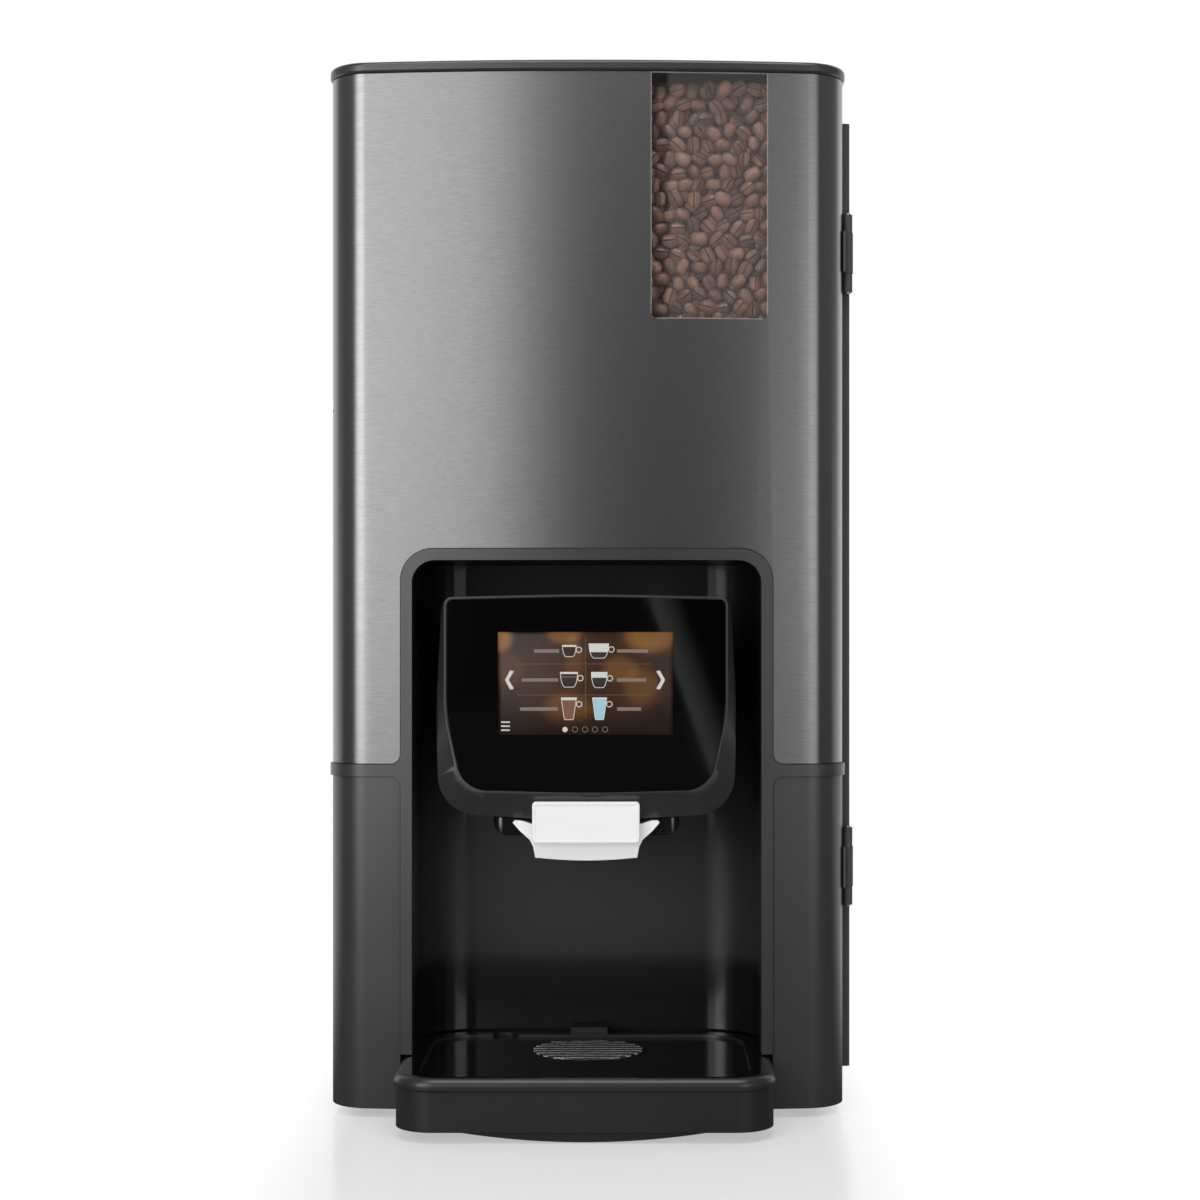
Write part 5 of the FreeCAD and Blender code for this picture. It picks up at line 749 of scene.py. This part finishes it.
panel = bmesh.new()
low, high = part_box("display_module")
middle = ((high.x + low.x) / 2, (PANEL_FACE + PANEL_THICK / 2) * MM, (high.z + low.z) / 2)
bmesh.ops.create_cube(panel, size=1.0)
bmesh.ops.scale(panel, vec=(high.x - low.x, PANEL_THICK * MM, high.z - low.z), verts=panel.verts)
bmesh.ops.translate(panel, vec=middle, verts=panel.verts)
bmesh.ops.bevel(panel, geom=panel.edges[:], offset=PANEL_BEVEL * MM, offset_type="OFFSET", segments=2,
                profile=0.5, affect="EDGES", material=-1)
panel_piece = made("display_panel", panel, "door", "display")
print(panel_piece.name, len(panel_piece.data.polygons), "faces")

# %% [markdown]
# Every symbol starts as a flat face on the panel. A face is pulled out into a plate. Where only its
# outline is wanted, the face is inset by the line's width, its middle is taken out, and the rim that is
# left is pulled out.

# %% Plates, frames and rings
def at_panel(x, z, lift=0.0):
    """A point on the panel's face from its x and z in mm, lifted towards the viewer."""
    return Vector((x * MM, (PANEL_FACE - lift) * MM, z * MM))


def pulled_out(bm, faces, thick):
    """Faces extruded towards the viewer."""
    moved = bmesh.ops.extrude_face_region(bm, geom=faces)["geom"]
    verts = [part for part in moved if isinstance(part, bmesh.types.BMVert)]
    bmesh.ops.translate(bm, vec=(0, -thick * MM, 0), verts=verts)


def rimmed(bm, face, width):
    """A face's rim of even width, pulled out, with the middle taken out."""
    rim = bmesh.ops.inset_region(bm, faces=[face], thickness=width * MM, use_even_offset=True,
                                 use_boundary=True)["faces"]
    bmesh.ops.delete(bm, geom=[face], context="FACES_ONLY")
    pulled_out(bm, rim, INK_THICK)


def flat(bm, corners):
    """A flat face from its outline, (x, z) in mm."""
    face = bm.faces.new([bm.verts.new(at_panel(x, z)) for x, z in corners])
    face.normal_update()
    return face


def plate(bm, corners, thick=INK_THICK):
    """A thin plate from its outline, (x, z) in mm."""
    pulled_out(bm, [flat(bm, corners)], thick)
    bmesh.ops.recalc_face_normals(bm, faces=bm.faces)


def bar(bm, first, last, thick=INK_THICK):
    """An upright rectangle between two opposite corners."""
    (ax, az), (bx, bz) = first, last
    plate(bm, [(ax, az), (bx, az), (bx, bz), (ax, bz)], thick)


def disc(bm, x, z, radius, lift=0.0):
    """A flat disc that faces the viewer."""
    place = Matrix.Translation(at_panel(x, z, lift)) @ Matrix.Rotation(pi / 2, 4, "X")
    circle = bmesh.ops.create_circle(bm, cap_ends=True, segments=20, radius=radius * MM, matrix=place)
    return circle["verts"][0].link_faces[0]


# %% [markdown]
# A cup seen from the side is a shape that narrows towards its foot. Its profile gives the share of the
# rim's width at shares of its height, counted down from the rim. The drink is the same shape between
# two of those heights.

# %% A cup's side view
BOWL = ((0.0, 1.0), (0.3, 0.97), (0.55, 0.9), (0.77, 0.79), (0.92, 0.66), (1.0, 0.5))
TALL = ((0.0, 1.0), (0.93, 0.62), (1.0, 0.54))
PICTURE_SCALE = 1.5365
PICTURE_X, PICTURE_Y, PANEL_X, PANEL_Z = 639.8, 640, 35, 315


def photo_spot(x, y):
    """A point of the photograph, as x and z in mm on the panel."""
    return PANEL_X + (x - PICTURE_X) / PICTURE_SCALE, PANEL_Z - (y - PICTURE_Y) / PICTURE_SCALE


def width_at(profile, height):
    """The share of the rim's width that a cup has at a share of its height."""
    for (h0, w0), (h1, w1) in zip(profile, profile[1:]):
        if height <= h1:
            return w0 + (w1 - w0) * (height - h0) / (h1 - h0)
    return profile[-1][1]


def cup_part(box, profile, start=0.0, end=1.0):
    """A cup's side view between two shares of its height, for a box of x0, x1, top and foot."""
    x0, x1, top, foot = box
    heights = [start] + [h for h, _ in profile if start < h < end] + [end]
    middle, half_wide = (x0 + x1) / 2, (x1 - x0) / 2
    right_side = [(middle + half_wide * width_at(profile, h), top + (foot - top) * h) for h in heights]
    return right_side + [(2 * middle - x, z) for x, z in reversed(right_side)]


# %% [markdown]
# Each cup is listed with its left, right, top and foot in pixels of the photograph, its profile, and
# its bands of colour as shares of its height from the rim down.

# %% Cups with their drinks
CUPS = (
    ((562, 576.5, 645, 657), BOWL, (("white", 0, 0.16), ("dark", 0.16, 0.95))),
    ((588.5, 609, 643.5, 658.5), BOWL, (("white", 0, 0.58), ("dark", 0.58, 0.95))),
    ((560, 578, 672, 687.5), BOWL, (("white", 0, 0.13), ("dark", 0.13, 0.95), ("line", 0.26, 0.38))),
    ((591, 607.5, 672, 688), BOWL, (("white", 0, 0.36), ("dark", 0.36, 0.95))),
    ((560.8, 576.8, 697.5, 720), TALL, (("white", 0, 0.12), ("brown", 0.12, 0.97))),
    ((592, 607, 697.5, 720), TALL, (("white", 0, 0.07), ("blue", 0.07, 0.97))),
)
CUP_LINE, HANDLE_LINE, HANDLE_RADIUS, HANDLE_OUT = 0.42, 0.55, 2.05, 1.5
HANDLE_DOWN_TALL, HANDLE_DOWN_BOWL = 0.3, 0.4
DRINK_THICK, DRINK_STEP = 0.1, 0.02

ink = {color: bmesh.new() for color in INKS}
for (left, right, top, foot), profile, drinks in CUPS:
    (x0, z0), (x1, z1) = photo_spot(left, top), photo_spot(right, foot)
    box = (x0, x1, z0, z1)
    rimmed(ink["white"], flat(ink["white"], cup_part(box, profile)), CUP_LINE)
    down = HANDLE_DOWN_TALL if profile is TALL else HANDLE_DOWN_BOWL
    handle = disc(ink["white"], x1 + HANDLE_OUT, z0 - (z0 - z1) * down, HANDLE_RADIUS)
    rimmed(ink["white"], handle, HANDLE_LINE)
    for order, (color, start, end) in enumerate(drinks):
        plate(ink[color], cup_part(box, profile, start, end), DRINK_THICK + DRINK_STEP * order)
print("cups:", len(CUPS))

# %% [markdown]
# The arrows are two slanted bars each. Then come the menu button, the page dots with the first one
# filled, the thin lines between the fields, and the bars beside the cups. All places are those of the
# photograph.

# %% Arrows, dots, lines and bars
ARROWS = ((510, 680, -1), (660, 680, 1))
ARROW_TIP, ARROW_TAIL, ARROW_RISE, ARROW_WIDE, ARROW_SLANT = 0.9, -2.5, 5.7, 2.4, 0.5
MENU_X, MENU_ROWS, MENU_WIDE, MENU_HIGH = 501, (721.5, 725.5, 729.5), 5.8, 0.9
DOT_XS, DOT_Y, DOT_RADIUS, DOT_LINE, FULL_DOT_RADIUS = (565, 575, 585, 595, 605), 729.5, 1.9, 0.35, 1.7
FIELD_LINES = (((585.2, 637), (585.9, 718)), ((517, 663.7), (650, 664.3)),
               ((517, 694.7), (650, 695.3)))
BARS = ((534, 559, 651), (617, 648, 651), (522, 558, 680), (617, 646, 680), (520, 558, 709),
        (617, 641, 709))
BAR_HALF, LINE_THICK, BAR_THICK = 1.7, 0.1, 0.12

for x, y, side in ARROWS:
    cx, cz = photo_spot(x, y)
    tip, tail, wide = ARROW_TIP * side, ARROW_TAIL * side, ARROW_WIDE * side
    for way in (-1, 1):
        rise = way * ARROW_RISE
        plate(ink["white"], [(cx + tip, cz), (cx + tail, cz + rise),
                             (cx + tail + wide, cz + rise + way * ARROW_SLANT), (cx + tip + wide, cz)])
for row in MENU_ROWS:
    x, z = photo_spot(MENU_X, row)
    bar(ink["white"], (x, z), (x + MENU_WIDE, z - MENU_HIGH))
for number, x in enumerate(DOT_XS):
    cx, cz = photo_spot(x, DOT_Y)
    if number:
        rimmed(ink["grey"], disc(ink["grey"], cx, cz, DOT_RADIUS), DOT_LINE)
    else:
        disc(ink["white"], cx, cz, FULL_DOT_RADIUS, INK_THICK)
for first, last in FIELD_LINES:
    bar(ink["line"], photo_spot(*first), photo_spot(*last), LINE_THICK)
for x0, x1, y in BARS:
    bar(ink["grey"], photo_spot(x0, y - BAR_HALF), photo_spot(x1, y + BAR_HALF), BAR_THICK)
for color, bm in ink.items():
    piece = made("screen_symbols_" + color, bm, "door", "display", INKS[color])
    print(piece.name, len(piece.data.polygons), "faces")
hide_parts("display_module")

# %% [markdown]
# ## The studio
# Product photographs of metal are made with big soft lights, because metal shows what stands round it.
# A large softbox and a strip on the left give the bright plateau on the brushed front, one on the right
# gives the thin light line along the right corner, and one overhead lights the upper sides. The room in
# front stays dark, and what the lens sees of the room is white.

# %% The room as the world
DARK_ROOM, MIRRORED_ROOM, MIRRORED_SIDES, BACKDROP = 0.15, 0.035, 0.2, 0.85
BEHIND, FAR_BEHIND, ASIDE = (-0.05, 0.35), (0.3, 0.65), (-0.68, -0.5)

world = bpy.data.worlds.new("studio")
scene.world = world
world.use_nodes = True
room = world.node_tree
room.nodes.clear()


def room_span(value, low, high, start=0.0, end=1.0, steps="LINEAR"):
    """A value of start..end taken to low..high."""
    return added(room, "ShaderNodeMapRange", {"interpolation_type": steps}, Value=value, From_Min=start,
                 From_Max=end, To_Min=low, To_Max=high).outputs[0]


def larger(first, second):
    return added(room, "ShaderNodeMath", {"operation": "MAXIMUM"}, i0=first, i1=second).outputs[0]


looking = added(room, "ShaderNodeTexCoord").outputs["Generated"]
backwards = added(room, "ShaderNodeSeparateXYZ", Vector=looking).outputs[1]
behind = room_span(backwards, 0.0, 1.0, *BEHIND, steps="SMOOTHSTEP")
far_behind = room_span(backwards, 0.0, 1.0, *FAR_BEHIND, steps="SMOOTHSTEP")
aside = room_span(backwards, MIRRORED_ROOM, MIRRORED_SIDES, *ASIDE)
paths = added(room, "ShaderNodeLightPath").outputs
mirrored = larger(paths["Is Glossy Ray"], paths["Is Transmission Ray"])
in_front = room_span(mirrored, DARK_ROOM, aside)
far_end = room_span(mirrored, BACKDROP, 1.0)
level = room_span(room_span(mirrored, behind, far_behind), in_front, far_end)
level = larger(level, paths["Is Camera Ray"])
background = added(room, "ShaderNodeBackground", Color=(1, 1, 1, 1), Strength=level)
room.links.new(background.outputs[0], added(room, "ShaderNodeOutputWorld").inputs[0])
print("room:", len(room.nodes), "nodes")

# %% [markdown]
# Four area lights stand for the softboxes. Their brightness is given per area, so a light can change
# its size without changing how bright it looks in the metal.

# %% Softboxes
TARGET = Vector((0, -100, 330)) * MM
LEVEL_AIM = TARGET + Vector((0, 0, 0.62))


def softbox(name, azimuth, distance, height, wide, high, level, aim):
    """A flat soft light at an azimuth from straight in front, towards +X; level is its brightness."""
    light = bpy.data.lights.new(name, "AREA")
    light.shape = "RECTANGLE"
    light.size, light.size_y = wide, high
    light.energy = level * pi * wide * high
    box = bpy.data.objects.new(name, light)
    turn = radians(azimuth)
    box.location = Vector((sin(turn) * distance + aim.x, -cos(turn) * distance + aim.y, height))
    box.rotation_euler = (box.location - aim).to_track_quat("Z", "Y").to_euler()
    scene.collection.objects.link(box)
    print(name, "at", tuple(round(c, 2) for c in box.location))


softbox("left_softbox", -26, 2.2, 0.95, 1.45, 1.9, 1.75, LEVEL_AIM)
softbox("left_strip", -38, 2.3, 0.7, 1.0, 1.9, 1.85, LEVEL_AIM)
softbox("right_softbox", 31, 2.3, 0.42, 1.1, 1.7, 1.65, LEVEL_AIM)
softbox("high_softbox", 4, 1.1, 2.25, 1.7, 1.0, 4.2, TARGET)

# %% [markdown]
# The screen's glass shows one slanted edge of brightness: a pale card stands far in front, where only
# mirrored rays meet it. Its corners are placed by reflecting them about the glass's plane, so that they
# land on the glass where the photograph has the slant. From that edge the card fades to black.

# %% A card for the glass
GLASS_PLANE, CARD_PLANE, CARD_LEVEL, CARD_FADE = -194.0, -2200.0, 0.8, 0.05
EDGE_TOP, EDGE_FOOT = (37.5, 352), (91.5, 200)
CARD_ON_GLASS = (EDGE_TOP, (102, 352), (102, 200), EDGE_FOOT)


def mirrored_spot(x, z):
    """Where a ray from the camera over a point of the glass meets the card's plane."""
    start = CAMERA_PLACE / MM
    reach = (GLASS_PLANE - CARD_PLANE) / (GLASS_PLANE - start.y)
    return Vector((x + (x - start.x) * reach, CARD_PLANE, z + (z - start.z) * reach)) * MM


def prop(name, bm, look):
    """A piece of the studio from a bmesh, which is no part of the machine."""
    mesh = bpy.data.meshes.new(name)
    bm.to_mesh(mesh)
    bm.free()
    piece = bpy.data.objects.new(name, mesh)
    scene.collection.objects.link(piece)
    paint(piece, look.material)
    print(name, len(mesh.vertices), "points, the first at", tuple(round(c, 2) for c in mesh.vertices[0].co))
    return piece


card_slope = (EDGE_FOOT[0] - EDGE_TOP[0]) / (EDGE_TOP[1] - EDGE_FOOT[1])
card_edge = mirrored_spot(*EDGE_TOP).x + card_slope * mirrored_spot(*EDGE_TOP).z
card_look = Graph("card", (0.0, 0.0, 0.0), 1.0, Specular_IOR_Level=0.0)
card_axes = card_look.axes()
past_line = card_look.sums("ADD", card_axes[0], card_look.sums("MULTIPLY", card_axes[2], card_slope))
fade = card_look.span(past_line, 1.0, 0.0, card_edge, card_edge + CARD_FADE)
card_look.set("Emission Color", (1, 1, 1, 1))
card_look.set("Emission Strength", card_look.sums("MULTIPLY", fade, CARD_LEVEL))

card_bm = bmesh.new()
card_bm.faces.new([card_bm.verts.new(mirrored_spot(x, z)) for x, z in CARD_ON_GLASS])
card = prop("card", card_bm, card_look)
card.visible_camera = card.visible_diffuse = card.visible_shadow = card.visible_transmission = False

# %% [markdown]
# ## Floor
# The floor is a large pale sheet with a faint gloss. It is plain white away from the machine. Near the
# feet it glows only in part and takes the lights for the rest, so it keeps the machine's shadow and a
# soft mirror image. Mirrored in the machine's front, the floor is dark, as the photographer's floor is
# out of the light.

# %% Floor
FLOOR_WHITE, FLOOR_MIRRORED, FLOOR_SIZE = 0.45, 0.06, 9.0
SIDES, AHEAD, ASTERN, IN_FRONT = (0.15, 0.195), (-0.9, -0.5), (0.22, 0.32), (-0.1, 0.4)

floor_look = Graph("pale_floor", (0.92, 0.92, 0.92), 0.18, Specular_IOR_Level=0.35)
floor_look.set("Roughness", floor_look.span(floor_look.noise(6, 3), 0.14, 0.24))
floor_x, floor_y = floor_look.axes()[:2]
beside = floor_look.span(floor_look.sums("ABSOLUTE", floor_x, 0.0), 0, 1, *SIDES)
ahead = floor_look.span(floor_y, 1, 0, *AHEAD)
astern = floor_look.span(floor_y, 0, 1, *ASTERN)
away = floor_look.sums("MAXIMUM", beside, floor_look.sums("MAXIMUM", ahead, astern))
paths = floor_look.node("ShaderNodeLightPath").outputs
looked_at = floor_look.sums("MAXIMUM", paths["Is Camera Ray"], paths["Is Glossy Ray"])
white = floor_look.sums("MULTIPLY", looked_at, floor_look.span(away, FLOOR_WHITE, 1.0))
in_front = floor_look.sums("MULTIPLY", paths["Is Glossy Ray"], floor_look.span(floor_y, 1, 0, *IN_FRONT))
glow_white = floor_look.node("ShaderNodeEmission", Color=(1, 1, 1, 1),
                             Strength=floor_look.span(in_front, 1.0, FLOOR_MIRRORED))
white = floor_look.sums("MAXIMUM", white, in_front)
blend = floor_look.node("ShaderNodeMixShader", Fac=white, i1=floor_look.shader.outputs[0],
                        i2=glow_white.outputs[0])
floor_look.set("Surface", blend.outputs[0], floor_look.tree.nodes["Material Output"])

floor_bm = bmesh.new()
bmesh.ops.create_grid(floor_bm, x_segments=8, y_segments=8, size=FLOOR_SIZE)
floor = prop("floor", floor_bm, floor_look)
